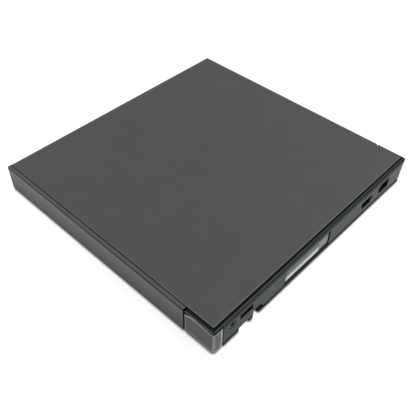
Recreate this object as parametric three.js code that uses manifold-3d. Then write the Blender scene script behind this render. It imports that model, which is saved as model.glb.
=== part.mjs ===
// External DVD drive: a slim tray drive in a flat case, with a side housing for its sockets.
// Millimetres. X runs left to right, Y from the front (negative) to the back, Z up.
// The origin is the middle of the footprint, on the surface that the feet stand on.

import * as THREE from 'three';
import { mergeVertices } from 'three/addons/utils/BufferGeometryUtils.js';
import Module from 'manifold-3d';

const wasm = await Module();
wasm.setup();

// Sizes shared by the whole unit
const gap = 0.3;
const seat = 0.02;
const overrun = 1;
const weld = 0.0001;
const cornerSteps = 5;
const roundSides = 32;
const pinSides = 14;
const discSides = 80;
const turntableSides = 48;
const ballSides = 10;
const fullTurn = 360;
const coordinates = 3;

// Case pieces
const foot = { radius: 4, height: 0.8, recess: 0.3, inset: 9 };
const bottom = { floor: 1.2, wall: 1.2, edge: 2.3, bevel: 0.12, corner: 0.8, backCorner: 2.2 };
const lid = { plate: 1, wall: 1, edgeBreak: 0.25, corner: 0.8, innerCorner: 0.7, backStrip: 0.5 };
const rim = {
  width: 2, height: 2, ledge: 1.6, bevel: 0.35, groove: 0.3, seam: 0.5, frontCorner: 1.5, backCorner: 0.5,
};
const bezel = {
  overlap: 1, depth: 2, lift: 0.1, roundHeight: 1.4, roundDepth: 0.25, seam: 0.5, end: 3.2, endSeam: 0.1,
  grooveDepth: 1.1, grooveHeight: 0.5, grooveDrop: 0.6, faceLip: 0.35, lip: 0.4, edgeBreak: 0.12,
};
const notchSlit = { width: 0.6 };
const housing = { wall: 1.6, bulkhead: 1.2, postRadius: 2.6, backRoom: 25.1, lowCorner: 2 };
const button = {
  width: 17, seam: 0.7, wall: 1.4, faceWall: 0.9, reach: 5.4, lift: 0.2, travel: 0.4,
  roundHeight: 1.2, roundDepth: 0.2, leftDrop: 2.6, peakDrop: 0.8, peakFromLeft: 3.9, cornerDrop: 1.4,
  leg: 2, legReach: 6.4, legDrop: 4.7, legInset: 2.4, rib: 3, ribReach: 3,
};
const screw = {
  headRadius: 2.2, head: 0.9, shankRadius: 1, length: 7, web: 1.2,
  drive: 1, driveDepth: 0.5, driveShare: 0.67,
};

// Features of the right wall. Starts and ends are from the front face, drops are from the rim.
const jackHole = { fromFront: 11.6, drop: 3.1, radius: 2.4 };
const clipSlot = { start: 16.6, end: 25.2, drop: 1.6, height: 3.7, corner: 0.8 };
const cordNotch = {
  start: 16.4, deepEnd: 28.8, end: 33, depth: 6.4, footRadius: 2.2, wall: 1.2, roof: 6.2, gapEnd: 31,
  tipStart: 23, tipEnd: 25.8, tipBottom: 0.9, tipRadius: 0.7, roofRadius: 1.4,
};
const labelRecess = {
  start: 48, end: 83.5, depth: 0.8, drop: 1, backing: 1.3, margin: 1.2, ledge: 1.1, ledgeInset: 0.1,
};
const label = { frontInset: 1.4, backInset: 0.6, lowInset: 0.05, highInset: 0.2, thickness: 0.25 };
const smallPort = { fromBack: 31.7, width: 9.8, height: 5.1, taper: 1.5, corner: 0.5 };
const largePort = { fromBack: 15.1, width: 10, height: 6.5, chamfer: 1.8, corner: 0.4 };

// The slim drive inside, in its own frame: X from its middle, Y from its front edge, Z from its base
const drive = { headroom: 1.4, floor: 0.5, wall: 0.6, cover: 0.5 };
const bead = { count: 3, width: 2.4, topShare: 0.5, height: 0.35, pitch: 22, start: 18, inset: 26 };
const coverTab = { height: 2.6, start: 12, backSetback: 17.5, thickness: 0.4 };
const guide = { low: 2.6, high: 7.4, depth: 2.5, start: 2, backSetback: 7.5, lip: 1, back: 0.8 };
const slider = { width: 3.3, start: 2.4, backSetback: 11.1, web: 1.1, grooveDepth: 0.9 };
const tray = {
  frontWall: 2, underside: 6.6, deck: 10.2, recess: 8, smallRecess: 7.3, beam: 4.1, beamLow: 1.1,
  channelHeight: 3.4, channelDepth: 2, deckGap: 0.3, frontLow: 0.9, backSetback: 1.2,
  discRadius: 60.7, frontMargin: 1.2, sideMargin: 3.3, backMargin: 2.9,
  smallDiscRadius: 40.6, fingerRadius: 9, ribHeight: 1.6, rib: 1.2, corner: 1,
};

// The mechanism hung below the tray, in its own frame: origin on the disc's axis, turned to a corner
const traverse = {
  turn: -Math.PI / 4, low: 3.6, thickness: 1.4, left: -12.9, right: 15, pastDisc: 4.8, inner: 15, corner: 3,
  windowHalf: 9.3, windowWall: 1.6, windowInner: -14.2, motorHole: 9.8, bracketLow: 1.3, bracket: 1.5,
};
const motor = {
  radius: 9.5, low: 1.7, high: 5.4, flangeRadius: 12, flange: 0.5, slots: 9, slotWidth: 1.1, slotDepth: 1.4,
};
const spindle = {
  canRadius: 10, canHeight: 1.5, plateRadius: 12.5, plate: 0.9, seat: 8.8, hubRadius: 7.35,
  hub: 1.4, nose: 0.6,
  dish: 3.2, dishDepth: 0.5, claws: 3, clawRadius: 0.75, runGap: 0.4,
};
const rod = { radius: 0.9, offset: 10.9, height: 2.4, fit: 0.1 };
const leadScrew = {
  radius: 0.9, offset: -14.6, height: 3.4, ear: 1.5, earHalf: 1.9, start: 0.3, endSetback: 3,
};
const sledMotor = { radius: 2.2, length: 11, flat: 1.9 };
const carriage = {
  halfWidth: 9, ahead: 5.5, behind: 9, low: 2, high: 6.2, rest: -24,
  bossHalf: 1.5, bossLow: 1.2, bossLength: 4, toothLow: 1.3, tooth: 0.9,
  domeRadius: 4.6, dome: 0.7, corner: 1.2,
};
const lens = {
  half: 3.4, length: 5, height: 0.7, radius: 1.8, bulge: 0.25, shoulderShare: 0.75, travel: 0.25,
};
const damper = { radius: 2.3, waist: 1.7, waistShare: 0.33, inset: 2.6 };
const latch = {
  beamGap: 7.6, y: 16, reach: 14, postRadius: 1.2, postHeight: 3.2, low: 1.9, thickness: 1.3,
  pivotRadius: 1.2, hub: 2.6, arm: 2.2, claw: 1.6, open: 0.19,
};
const solenoid = { aside: 8.9, forward: 2, width: 10, length: 12, low: 2.2, cheek: 1, coil: 0.8 };

// Circuit boards and their parts
const driveBoard = { sideInset: 16, depth: 31, backSetback: 4.5, low: 1.6, thickness: 1, postRadius: 2 };
const chip = { size: 14, height: 1.2, pitch: 26 };
const driveSocket = { x: 34, width: 33, low: 2.6, high: 6.2, reach: 2.6 };
const flex = { x: -30, width: 9, thickness: 0.25, reach: 24, overlap: 2 };
const board = {
  low: 4.2, thickness: 1, driveGap: 1.4, wallGap: 6.3, margin: 1.2, branchReach: 3.3, branchGap: 3.1,
};
const boardPost = { radius: 2 };
const boardSocket = { depth: 7, high: 9.4 };
const jack = {
  barrel: 2, bore: 1.25, boreDepth: 7.5, length: 8.5, block: 6, nose: 4,
  pin: 0.35, pinShort: 1.2, shoulder: 0.4,
};
const portShell = { sheet: 0.5, length: 9, padShare: 0.5, tongue: 1, tongueShort: 1.4, tongueShare: 0.62 };
const tactSwitch = {
  width: 5.2, depth: 3.6, height: 4.2, inset: 3.6, rise: 2.2, plungerRadius: 1, bore: 2.4,
};
const led = { radius: 1, length: 0.9, flange: 0.6, rim: 0.4, leg: 0.6 };

// The disc gives the drive its size, and the drive gives the case its size
const driveHalf = tray.discRadius + tray.sideMargin;
const discCentre = tray.discRadius + tray.frontMargin;
const driveDepth = discCentre + tray.discRadius + tray.backMargin;
const driveHeight = spindle.seat + spindle.hub + spindle.nose + drive.headroom + drive.cover;
const bezelWidth = lid.wall + gap + driveHalf * 2 + bezel.overlap;
const unitWidth = bezelWidth + button.seam + button.width;
const unitDepth = bezel.depth + bezel.seam + gap + driveDepth + housing.backRoom;
const unitHeight = foot.height + bottom.floor + driveHeight + gap + lid.plate;

// Places that several pieces share
const left = -unitWidth / 2;
const right = unitWidth / 2;
const front = -unitDepth / 2;
const back = unitDepth / 2;
const fromFront = (distance) => front + distance;
const floorLow = foot.height;
const floorTop = floorLow + bottom.floor;
const edgeTop = floorLow + bottom.edge;
const lidLow = unitHeight - lid.plate;
const rimLow = unitHeight - rim.height;
const coverFront = front + bezel.depth + bezel.seam;
const bezelRight = left + bezelWidth;
const buttonLeft = bezelRight + button.seam;
const housingLeft = bezelRight + notchSlit.width;
const wallInside = right - housing.wall;
const buttonEnd = front + button.reach;
const housingFront = buttonEnd + button.travel + gap;
const bulkheadBack = housingFront + housing.bulkhead;
const housingLow = edgeTop;
const stripMiddle = (buttonLeft + wallInside) / 2;
const driveLeft = left + lid.wall + gap;
const driveMiddle = driveLeft + driveHalf;
const driveFront = coverFront + gap;
const driveBack = driveFront + driveDepth;
const legLevel = unitHeight - button.legDrop;
const jackLevel = rimLow - jackHole.drop;
const boardTop = board.low + board.thickness;
const boardLeft = driveLeft + driveHalf * 2 + board.driveGap;
const boardRight = wallInside - board.wallGap;
const switchLevel = boardTop + tactSwitch.rise;
const portLow = boardTop + gap;
const smallPortEnd = unitDepth - smallPort.fromBack;
const smallPortStart = smallPortEnd - smallPort.width;
const largePortEnd = unitDepth - largePort.fromBack;
const largePortStart = largePortEnd - largePort.width;

// Outlines

// Corners are [x, y, radius] in order. A radius of zero leaves a corner sharp.
function outline(corners) {
  const points = [];
  corners.forEach(([x, y, radius], index) => {
    const here = new THREE.Vector2(x, y);
    if (radius === 0) {
      points.push(here);
      return;
    }
    const before = corners.at(index - 1);
    const after = corners[(index + 1) % corners.length];
    const toBefore = new THREE.Vector2(before[0], before[1]).sub(here).normalize();
    const toAfter = new THREE.Vector2(after[0], after[1]).sub(here).normalize();
    const half = Math.acos(THREE.MathUtils.clamp(toBefore.dot(toAfter), -1, 1)) / 2;
    const middle = toBefore.clone().add(toAfter).normalize();
    const centre = middle.multiplyScalar(radius / Math.sin(half)).add(here);
    const first = toBefore.multiplyScalar(radius / Math.tan(half)).add(here).sub(centre);
    const last = toAfter.multiplyScalar(radius / Math.tan(half)).add(here).sub(centre);
    const sweep = Math.atan2(first.cross(last), first.dot(last));
    for (let step = 0; step <= cornerSteps; step += 1) {
      const spoke = first.clone().rotateAround(new THREE.Vector2(), (sweep * step) / cornerSteps);
      points.push(spoke.add(centre));
    }
  });
  return points;
}

const even = (radius) => Array(4).fill(radius);

// A rectangle whose radii run front left, front right, back right, back left.
function rectangle(x0, x1, y0, y1, radii = even(0), inset = 0) {
  const shrunk = radii.map((radius) => (radius === 0 ? 0 : Math.max(radius - inset, radius / cornerSteps)));
  return outline([
    [x0 + inset, y0 + inset, shrunk[0]],
    [x1 - inset, y0 + inset, shrunk[1]],
    [x1 - inset, y1 - inset, shrunk[2]],
    [x0 + inset, y1 - inset, shrunk[3]],
  ]);
}

// Solids

function toSolid(geometry) {
  const bare = geometry.clone();
  bare.deleteAttribute('normal');
  bare.deleteAttribute('uv');
  const merged = mergeVertices(bare, weld);
  const triangles = [];
  for (let at = 0; at < merged.index.count; at += 3) {
    const [a, b, c] = [0, 1, 2].map((corner) => merged.index.getX(at + corner));
    if (a !== b && b !== c && c !== a) triangles.push(a, b, c);
  }
  const mesh = new wasm.Mesh({
    numProp: coordinates,
    vertProperties: new Float32Array(merged.attributes.position.array),
    triVerts: new Uint32Array(triangles),
  });
  return new wasm.Manifold(mesh);
}

function slab(x0, x1, y0, y1, z0, z1) {
  const box = new THREE.BoxGeometry(x1 - x0, y1 - y0, z1 - z0);
  return toSolid(box.translate((x0 + x1) / 2, (y0 + y1) / 2, (z0 + z1) / 2));
}

function extrusion(points, depth) {
  return new THREE.ExtrudeGeometry(new THREE.Shape(points), { depth, bevelEnabled: false, steps: 1 });
}

// Points are x and y, and the prism stands from z0 to z1.
function prismZ(points, z0, z1) {
  return toSolid(extrusion(points, z1 - z0).translate(0, 0, z0));
}

// Points are y and z, and the prism runs from x0 to x1.
function prismX(points, x0, x1) {
  const toX = new THREE.Matrix4().makeBasis(
    new THREE.Vector3(0, 1, 0),
    new THREE.Vector3(0, 0, 1),
    new THREE.Vector3(1, 0, 0),
  );
  return toSolid(extrusion(points, x1 - x0).applyMatrix4(toX).translate(x0, 0, 0));
}

// Points are x and z, and the prism runs from y0 to y1.
function prismY(points, y0, y1) {
  const toY = new THREE.Matrix4().makeBasis(
    new THREE.Vector3(1, 0, 0),
    new THREE.Vector3(0, 0, 1),
    new THREE.Vector3(0, -1, 0),
  );
  return toSolid(extrusion(points, y1 - y0).applyMatrix4(toY).translate(0, y1, 0));
}

// Outlines with equal numbers of points, joined level by level and closed at both ends.
function stack(levels) {
  const count = levels[0].points.length;
  const positions = levels.flatMap(({ points, z }) => points.flatMap(({ x, y }) => [x, y, z]));
  const index = [];
  for (let level = 0; level + 1 < levels.length; level += 1) {
    for (let here = 0; here < count; here += 1) {
      const next = (here + 1) % count;
      const a = level * count + here;
      const b = level * count + next;
      index.push(a, b, b + count, a, b + count, a + count);
    }
  }
  const top = (levels.length - 1) * count;
  THREE.ShapeUtils.triangulateShape(levels[0].points, []).forEach(([a, b, c]) => index.push(a, c, b));
  THREE.ShapeUtils.triangulateShape(levels.at(-1).points, []).forEach(([a, b, c]) => {
    index.push(top + a, top + b, top + c);
  });
  const geometry = new THREE.BufferGeometry();
  geometry.setAttribute('position', new THREE.Float32BufferAttribute(positions, coordinates));
  geometry.setIndex(index);
  return toSolid(geometry);
}

function roundZ(x, y, radius, z0, z1, sides = roundSides) {
  const round = new THREE.CylinderGeometry(radius, radius, z1 - z0, sides).rotateX(Math.PI / 2);
  return toSolid(round.translate(x, y, (z0 + z1) / 2));
}

function roundX(y, z, radius, x0, x1, sides = roundSides) {
  const round = new THREE.CylinderGeometry(radius, radius, x1 - x0, sides).rotateZ(Math.PI / 2);
  return toSolid(round.translate((x0 + x1) / 2, y, z));
}

function roundY(x, z, radius, y0, y1, sides = roundSides) {
  const round = new THREE.CylinderGeometry(radius, radius, y1 - y0, sides);
  return toSolid(round.translate(x, (y0 + y1) / 2, z));
}

// A profile of [radius, z] pairs, from the axis at the bottom to the axis at the top.
function turned(profile, sides = roundSides) {
  const points = profile.map(([radius, z]) => new THREE.Vector2(radius, z));
  return toSolid(new THREE.LatheGeometry(points, sides).rotateX(Math.PI / 2));
}

const joined = (solids) => solids.reduce((whole, next) => whole.add(next));

// Materials
const finishes = {
  lid: { color: 0x575755, roughness: 0.55, metalness: 0.1 },
  bezel: { color: 0x6b6b69, roughness: 0.5, metalness: 0.1 },
  housing: { color: 0x5a6060, roughness: 0.5, metalness: 0.1 },
  glossBlack: { color: 0x101312, roughness: 0.15, metalness: 0 },
  smoked: { color: 0x5f5c5b, roughness: 0.2, metalness: 0.1 },
  black: { color: 0x1b1d1c, roughness: 0.55, metalness: 0 },
  trayBlack: { color: 0x202020, roughness: 0.6, metalness: 0 },
  rubber: { color: 0x151515, roughness: 0.9, metalness: 0 },
  steel: { color: 0xb4b6b8, roughness: 0.35, metalness: 0.9 },
  darkSteel: { color: 0x7d7f82, roughness: 0.4, metalness: 0.85 },
  zinc: { color: 0x9a9c9e, roughness: 0.45, metalness: 0.7 },
  board: { color: 0x1f5a35, roughness: 0.5, metalness: 0 },
  socket: { color: 0x111111, roughness: 0.5, metalness: 0 },
  amber: { color: 0x8a5a20, roughness: 0.4, metalness: 0 },
  copper: { color: 0x8c4a28, roughness: 0.4, metalness: 0.6 },
  glass: { color: 0x9fb6d8, roughness: 0.05, metalness: 0 },
  paper: { color: 0xcdd4c8, roughness: 0.7, metalness: 0 },
};

function piece(parent, name, solid, finish) {
  const { vertProperties, triVerts } = solid.getMesh();
  const geometry = new THREE.BufferGeometry();
  geometry.setAttribute('position', new THREE.BufferAttribute(vertProperties, coordinates));
  geometry.setIndex(new THREE.BufferAttribute(triVerts, 1));
  geometry.computeVertexNormals();
  const mesh = new THREE.Mesh(geometry, new THREE.MeshStandardMaterial(finish));
  mesh.name = name;
  parent.add(mesh);
}

// Screws and feet
const screwPlaces = [
  { x: left + foot.inset * 2, y: (driveBack + back) / 2 },
  { x: driveMiddle, y: (driveBack + back) / 2 + housing.postRadius },
  { x: wallInside - housing.postRadius + gap, y: fromFront(cordNotch.end) + housing.postRadius * 2 },
  { x: wallInside - housing.postRadius + gap, y: back - housing.wall - housing.postRadius + gap },
];
const lidScrews = screwPlaces.slice(0, 2);
const housingScrews = screwPlaces.slice(2);
const padTop = edgeTop;
const webLow = padTop - screw.web;
const headLow = webLow - screw.head;
const shankTop = webLow + screw.length;

const footPlaces = [
  { name: 'foot_front_left', x: left + foot.inset, y: coverFront + foot.inset },
  { name: 'foot_front_right', x: right - foot.inset, y: coverFront + foot.inset + cordNotch.end },
  { name: 'foot_back_left', x: left + foot.inset, y: back - foot.inset },
  { name: 'foot_back_right', x: right - foot.inset, y: back - foot.inset - housing.postRadius * 2 },
];

function screwBore(place, z0, z1) {
  return roundZ(place.x, place.y, screw.shankRadius + gap, z0, z1, pinSides);
}

function caseScrew(place) {
  const head = roundZ(place.x, place.y, screw.headRadius, headLow, webLow);
  const shank = roundZ(place.x, place.y, screw.shankRadius, webLow, shankTop, pinSides);
  const slotHalf = screw.drive / 2;
  const reach = screw.headRadius * screw.driveShare;
  const cut = headLow + screw.driveDepth;
  const arm = (halfX, halfY) => slab(
    place.x - halfX, place.x + halfX,
    place.y - halfY, place.y + halfY,
    headLow - overrun, cut,
  );
  return head.add(shank).subtract(arm(reach, slotHalf).add(arm(slotHalf, reach)));
}

// Case

const boardPosts = [
  { x: (boardLeft + boardRight) / 2, y: fromFront(jackHole.fromFront + cordNotch.end) },
  { x: (boardLeft + boardRight) / 2, y: fromFront((labelRecess.end + smallPortStart) / 2) },
  { x: driveMiddle + housing.postRadius * 3, y: (driveBack + back) / 2 },
];

function bottomCover() {
  const radii = [bottom.corner, bottom.corner, bottom.backCorner, bottom.corner];
  const level = (inset, z) => ({ points: rectangle(left, right, coverFront, back, radii, inset), z });
  const body = stack([level(bottom.bevel, floorLow), level(0, edgeTop)]);
  const innerBack = back - bottom.wall;
  const inside = rectangle(left + bottom.wall, right - bottom.wall, coverFront - overrun, innerBack, radii);
  const cavity = prismZ(inside, floorTop, edgeTop + overrun);
  const pads = screwPlaces.map((place) => {
    return roundZ(place.x, place.y, screw.headRadius + bottom.wall, floorLow, padTop).intersect(body);
  });
  const posts = boardPosts.map((place) => {
    return roundZ(place.x, place.y, boardPost.radius, floorLow, board.low, pinSides);
  });
  const ledgeLeft = right - labelRecess.depth;
  const ledge = slab(
    ledgeLeft, right - labelRecess.ledgeInset,
    fromFront(labelRecess.start) + gap, fromFront(labelRecess.end) - gap,
    floorTop, edgeTop + labelRecess.ledge,
  );
  const buttonRoom = slab(
    right - button.wall - gap, right + overrun,
    coverFront - overrun, housingFront,
    floorLow - overrun, edgeTop + overrun,
  );
  const notchRoom = slab(
    right - cordNotch.depth, right + overrun,
    fromFront(cordNotch.start), fromFront(cordNotch.deepEnd) + cordNotch.footRadius,
    floorLow - overrun, edgeTop + overrun,
  );
  const notchEnd = prismX(outline([
    [fromFront(cordNotch.deepEnd), floorLow, cordNotch.footRadius],
    [fromFront(cordNotch.end), floorLow, 0],
    [fromFront(cordNotch.end), edgeTop + overrun * 2, 0],
    [fromFront(cordNotch.deepEnd), edgeTop + overrun * 2, 0],
  ]), right - cordNotch.depth - overrun, right + overrun * 2);
  const notch = notchRoom.subtract(notchEnd);
  const heads = screwPlaces.map((place) => {
    return roundZ(place.x, place.y, screw.headRadius + gap, floorLow - overrun, webLow);
  });
  const bores = screwPlaces.map((place) => screwBore(place, floorLow, padTop + overrun));
  const seats = footPlaces.map((place) => {
    return roundZ(place.x, place.y, foot.radius + gap, floorLow - overrun, floorLow + foot.recess);
  });
  const whole = body.subtract(cavity).add(joined([...pads, ...posts, ledge]));
  return whole.subtract(joined([buttonRoom, notch, ...heads, ...bores, ...seats]));
}

function topCover() {
  const mainRadii = [0, 0, 0, lid.corner];
  const main = (inset, z) => {
    return { points: rectangle(left, bezelRight, coverFront, back, mainRadii, inset), z };
  };
  const breakLow = unitHeight - lid.edgeBreak;
  const shell = stack([main(0, edgeTop + gap), main(0, breakLow), main(lid.edgeBreak, unitHeight)]);
  const inside = rectangle(left + lid.wall, bezelRight + overrun, coverFront - overrun, back - lid.wall);
  const cavity = prismZ(inside, edgeTop, lidLow);
  const plateRight = right - rim.width - rim.seam / 2;
  const plateBack = back - lid.backStrip - gap;
  const plateRadii = [0, lid.innerCorner, lid.innerCorner, 0];
  const wingLeft = bezelRight - lid.wall - overrun;
  const side = (inset, z) => {
    return { points: rectangle(wingLeft, plateRight, coverFront, plateBack, plateRadii, inset), z };
  };
  const wing = stack([side(0, lidLow), side(0, breakLow), side(lid.edgeBreak, unitHeight)]);
  const seamFill = slab(
    wingLeft, bezelRight + overrun,
    coverFront + lid.edgeBreak, plateBack - lid.edgeBreak,
    breakLow, unitHeight,
  );
  const posts = lidScrews.map((place) => {
    return roundZ(place.x, place.y, housing.postRadius, padTop, lidLow + lid.plate / 2);
  });
  const bores = lidScrews.map((place) => screwBore(place, padTop - overrun, shankTop + gap));
  return shell.subtract(cavity).add(joined([wing, seamFill, ...posts])).subtract(joined(bores));
}

// The clearance that the button's own outline needs, or the button's top when the margin is zero.
function buttonFace(margin) {
  const low = floorLow + button.lift - margin;
  return [
    new THREE.Vector2(buttonLeft - margin, low),
    new THREE.Vector2(right + margin, low),
    new THREE.Vector2(right + margin, unitHeight - button.cornerDrop + margin),
    new THREE.Vector2(buttonLeft + button.peakFromLeft, unitHeight - button.peakDrop + margin),
    new THREE.Vector2(buttonLeft - margin, unitHeight - button.leftDrop + margin),
  ];
}

function glossyRim() {
  const radii = [0, rim.frontCorner, rim.backCorner, 0];
  const level = (inset, z) => ({ points: rectangle(buttonLeft, right, front, back, radii, inset), z });
  const body = stack([
    level(rim.groove, rimLow),
    level(0, rimLow + rim.groove),
    level(0, unitHeight - rim.bevel),
    level(rim.bevel, unitHeight),
  ]);
  const plateRight = right - rim.width + rim.seam / 2;
  const plateBack = back - lid.backStrip;
  const plateRadii = [0, lid.innerCorner, lid.innerCorner, 0];
  const plateRoom = rectangle(buttonLeft - overrun, plateRight, front + bezel.depth, plateBack, plateRadii);
  const pocket = prismZ(plateRoom, lidLow, unitHeight + overrun);
  const open = rectangle(
    buttonLeft - overrun, plateRight - rim.ledge,
    front + bezel.depth + rim.ledge, plateBack - rim.ledge,
    plateRadii,
  );
  const opening = prismZ(open, rimLow - overrun, unitHeight);
  const faceRoom = prismY(buttonFace(gap), front - overrun, front + button.faceWall + button.travel + gap);
  const returnRoom = prismY(buttonFace(gap), front - overrun, housingFront);
  const returnSide = slab(
    right - button.wall - gap, right + overrun,
    front - overrun, housingFront,
    floorLow, unitHeight,
  );
  return body.subtract(joined([pocket, opening, faceRoom, returnRoom.intersect(returnSide)]));
}

function cordPocket() {
  const innerLeft = right - cordNotch.depth - cordNotch.wall;
  const y0 = fromFront(cordNotch.start) - cordNotch.wall;
  const y1 = fromFront(cordNotch.deepEnd) + cordNotch.wall;
  const block = slab(innerLeft, wallInside + gap, y0, y1, floorTop + gap, cordNotch.roof + cordNotch.wall);
  const hollow = slab(
    right - cordNotch.depth, wallInside + overrun,
    fromFront(cordNotch.start), fromFront(cordNotch.deepEnd),
    floorTop - overrun, cordNotch.roof,
  );
  const edgeRoom = slab(wallInside - gap, right, y0 - overrun, y1 + overrun, floorTop, edgeTop);
  return block.subtract(hollow).subtract(edgeRoom);
}

function sideHousing() {
  const level = (inset, z, corner = rim.backCorner) => {
    return { points: rectangle(housingLeft, right, housingFront, back, [0, 0, corner, 0], inset), z };
  };
  const grooveLow = rimLow - rim.groove;
  const body = stack([
    level(0, housingLow, housing.lowCorner),
    level(0, grooveLow),
    level(rim.groove, grooveLow + weld),
    level(rim.groove, rimLow),
  ]);
  const hollow = slab(
    housingLeft - overrun, wallInside,
    bulkheadBack, back - housing.wall,
    housingLow - overrun, rimLow + overrun,
  );
  const legs = buttonLegs().map((x) => slab(
    x - button.leg / 2 - gap, x + button.leg / 2 + gap,
    housingFront - overrun, bulkheadBack + overrun,
    legLevel - button.leg / 2 - gap, legLevel + button.leg / 2 + gap,
  ));
  const plungerHole = roundY(
    switchX, switchLevel, tactSwitch.plungerRadius + gap,
    housingFront - overrun, bulkheadBack + overrun, pinSides,
  );
  const ledHole = roundY(
    stripMiddle, legLevel, led.radius + gap,
    housingFront - overrun, bulkheadBack + overrun, pinSides,
  );
  const postRoom = slab(
    wallInside - housing.postRadius * 2, right - bottom.wall,
    housingFront, back, floorLow, housingLow,
  );
  const posts = housingScrews.map((place) => {
    return roundZ(place.x, place.y, housing.postRadius, padTop, rimLow).subtract(postRoom);
  });
  const bores = housingScrews.map((place) => screwBore(place, padTop - overrun, shankTop + gap));
  const backing = slab(
    right - labelRecess.depth - labelRecess.backing, wallInside + gap,
    fromFront(labelRecess.start) - labelRecess.margin, fromFront(labelRecess.end) + labelRecess.margin,
    housingLow, rimLow,
  );
  const recess = slab(
    right - labelRecess.depth, right + overrun,
    fromFront(labelRecess.start), fromFront(labelRecess.end),
    housingLow - overrun, rimLow - labelRecess.drop,
  );
  const tip = prismX(outline([
    [fromFront(cordNotch.tipStart), cordNotch.tipBottom, cordNotch.tipRadius],
    [fromFront(cordNotch.tipEnd), cordNotch.tipBottom, cordNotch.tipRadius],
    [fromFront(cordNotch.tipEnd), housingLow + gap, 0],
    [fromFront(cordNotch.tipStart), housingLow + gap, 0],
  ]), wallInside, right);
  const cordGap = prismX(outline([
    [fromFront(cordNotch.tipEnd), housingLow - overrun, 0],
    [fromFront(cordNotch.end), housingLow - overrun, 0],
    [fromFront(cordNotch.end), housingLow, 0],
    [fromFront(cordNotch.gapEnd), cordNotch.roof, cordNotch.roofRadius],
    [fromFront(cordNotch.tipEnd), cordNotch.roof, cordNotch.tipRadius],
  ]), wallInside - overrun, right + overrun);
  const slotOutline = rectangle(
    fromFront(clipSlot.start), fromFront(clipSlot.end),
    rimLow - clipSlot.drop - clipSlot.height, rimLow - clipSlot.drop, even(clipSlot.corner),
  );
  const jackOpening = roundX(
    fromFront(jackHole.fromFront), jackLevel, jackHole.radius,
    wallInside - overrun, right + overrun,
  );
  const holes = [slotOutline, smallPortOutline(0), largePortOutline(0)].map((points) => {
    return prismX(points, wallInside - overrun, right + overrun);
  });
  const solid = body.subtract(hollow).add(joined([...posts, backing, cordPocket(), tip]));
  const cuts = [...legs, plungerHole, ledHole, ...bores, recess, cordGap, jackOpening, ...holes];
  return solid.subtract(joined(cuts));
}

function smallPortOutline(inset) {
  const y0 = fromFront(smallPortStart) + inset;
  const y1 = fromFront(smallPortEnd) - inset;
  const low = portLow + inset;
  const high = portLow + smallPort.height - inset;
  const middle = (low + high) / 2;
  return outline([
    [y0 + smallPort.taper, low, 0],
    [y1 - smallPort.taper, low, 0],
    [y1, middle, smallPort.corner],
    [y1, high, smallPort.corner],
    [y0, high, smallPort.corner],
    [y0, middle, smallPort.corner],
  ]);
}

function largePortOutline(inset) {
  const y0 = fromFront(largePortStart) + inset;
  const y1 = fromFront(largePortEnd) - inset;
  const low = portLow + inset;
  const high = portLow + largePort.height - inset;
  return outline([
    [y0 + largePort.chamfer, low, 0],
    [y1, low, largePort.corner],
    [y1, high, largePort.corner],
    [y0 + largePort.chamfer, high, 0],
    [y0, high - largePort.chamfer, 0],
    [y0, low + largePort.chamfer, 0],
  ]);
}

function trayBezel() {
  const low = floorLow + bezel.lift;
  const grooveTop = unitHeight - bezel.lip;
  const grooveLow = grooveTop - bezel.grooveHeight;
  const arc = [];
  for (let step = 0; step <= cornerSteps; step += 1) {
    const angle = (Math.PI / 2 * step) / cornerSteps;
    const y = front + bezel.roundDepth * (1 - Math.cos(angle));
    const z = low + bezel.roundHeight * (1 - Math.sin(angle));
    arc.push(new THREE.Vector2(y, z));
  }
  const lipBack = front + bezel.faceLip;
  const profile = [
    ...arc,
    new THREE.Vector2(front + bezel.depth, low),
    new THREE.Vector2(front + bezel.depth, unitHeight),
    new THREE.Vector2(front + bezel.edgeBreak, unitHeight),
    new THREE.Vector2(front, unitHeight - bezel.edgeBreak),
    new THREE.Vector2(front, grooveTop),
    new THREE.Vector2(front + bezel.grooveDepth, grooveTop),
    new THREE.Vector2(front + bezel.grooveDepth, grooveLow - bezel.grooveDrop),
    new THREE.Vector2(lipBack, grooveLow - bezel.grooveDrop),
    new THREE.Vector2(lipBack, grooveLow),
    new THREE.Vector2(front, grooveLow),
  ];
  const end = slab(
    left, left + bezel.end,
    front + bezel.grooveDepth, coverFront - bezel.endSeam,
    low + bezel.roundHeight, unitHeight,
  );
  return prismX(profile, left, bezelRight).add(end);
}

// Eject button and its switch

const switchX = buttonLeft + tactSwitch.inset;

function buttonLegs() {
  return [buttonLeft + button.legInset, wallInside - button.legInset];
}

function ejectButton() {
  const radii = [0, rim.frontCorner, 0, 0];
  const low = floorLow + button.lift;
  const level = (inset, z) => {
    const points = rectangle(buttonLeft, right, front, buttonEnd, radii, inset);
    points[0].x = buttonLeft;
    points.at(-1).x = buttonLeft;
    points.at(-1).y = buttonEnd;
    points.at(-2).y = buttonEnd;
    return { points, z };
  };
  const body = stack([
    level(button.roundDepth, low),
    level(0, low + button.roundHeight),
    level(0, unitHeight),
  ]);
  const innerRight = right - button.wall;
  const hollow = slab(
    buttonLeft - overrun, innerRight,
    front + button.wall, buttonEnd + overrun,
    low - overrun, unitHeight + overrun,
  );
  const thinTop = slab(
    buttonLeft - overrun, innerRight,
    front + button.faceWall, buttonEnd + overrun,
    rimLow - gap * 2, unitHeight + overrun,
  );
  const face = prismY(buttonFace(0), front - overrun, buttonEnd + overrun);
  const legs = buttonLegs().map((x) => slab(
    x - button.leg / 2, x + button.leg / 2,
    front + button.wall / 2, front + button.wall + button.legReach,
    legLevel - button.leg / 2, legLevel + button.leg / 2,
  ));
  const rib = slab(
    switchX - button.rib / 2, switchX + button.rib / 2,
    front + button.wall / 2, front + button.wall + button.ribReach,
    switchLevel - button.rib / 2, switchLevel + button.rib / 2,
  );
  return body.subtract(hollow).subtract(thinTop).intersect(face).add(joined([...legs, rib]));
}

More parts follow.
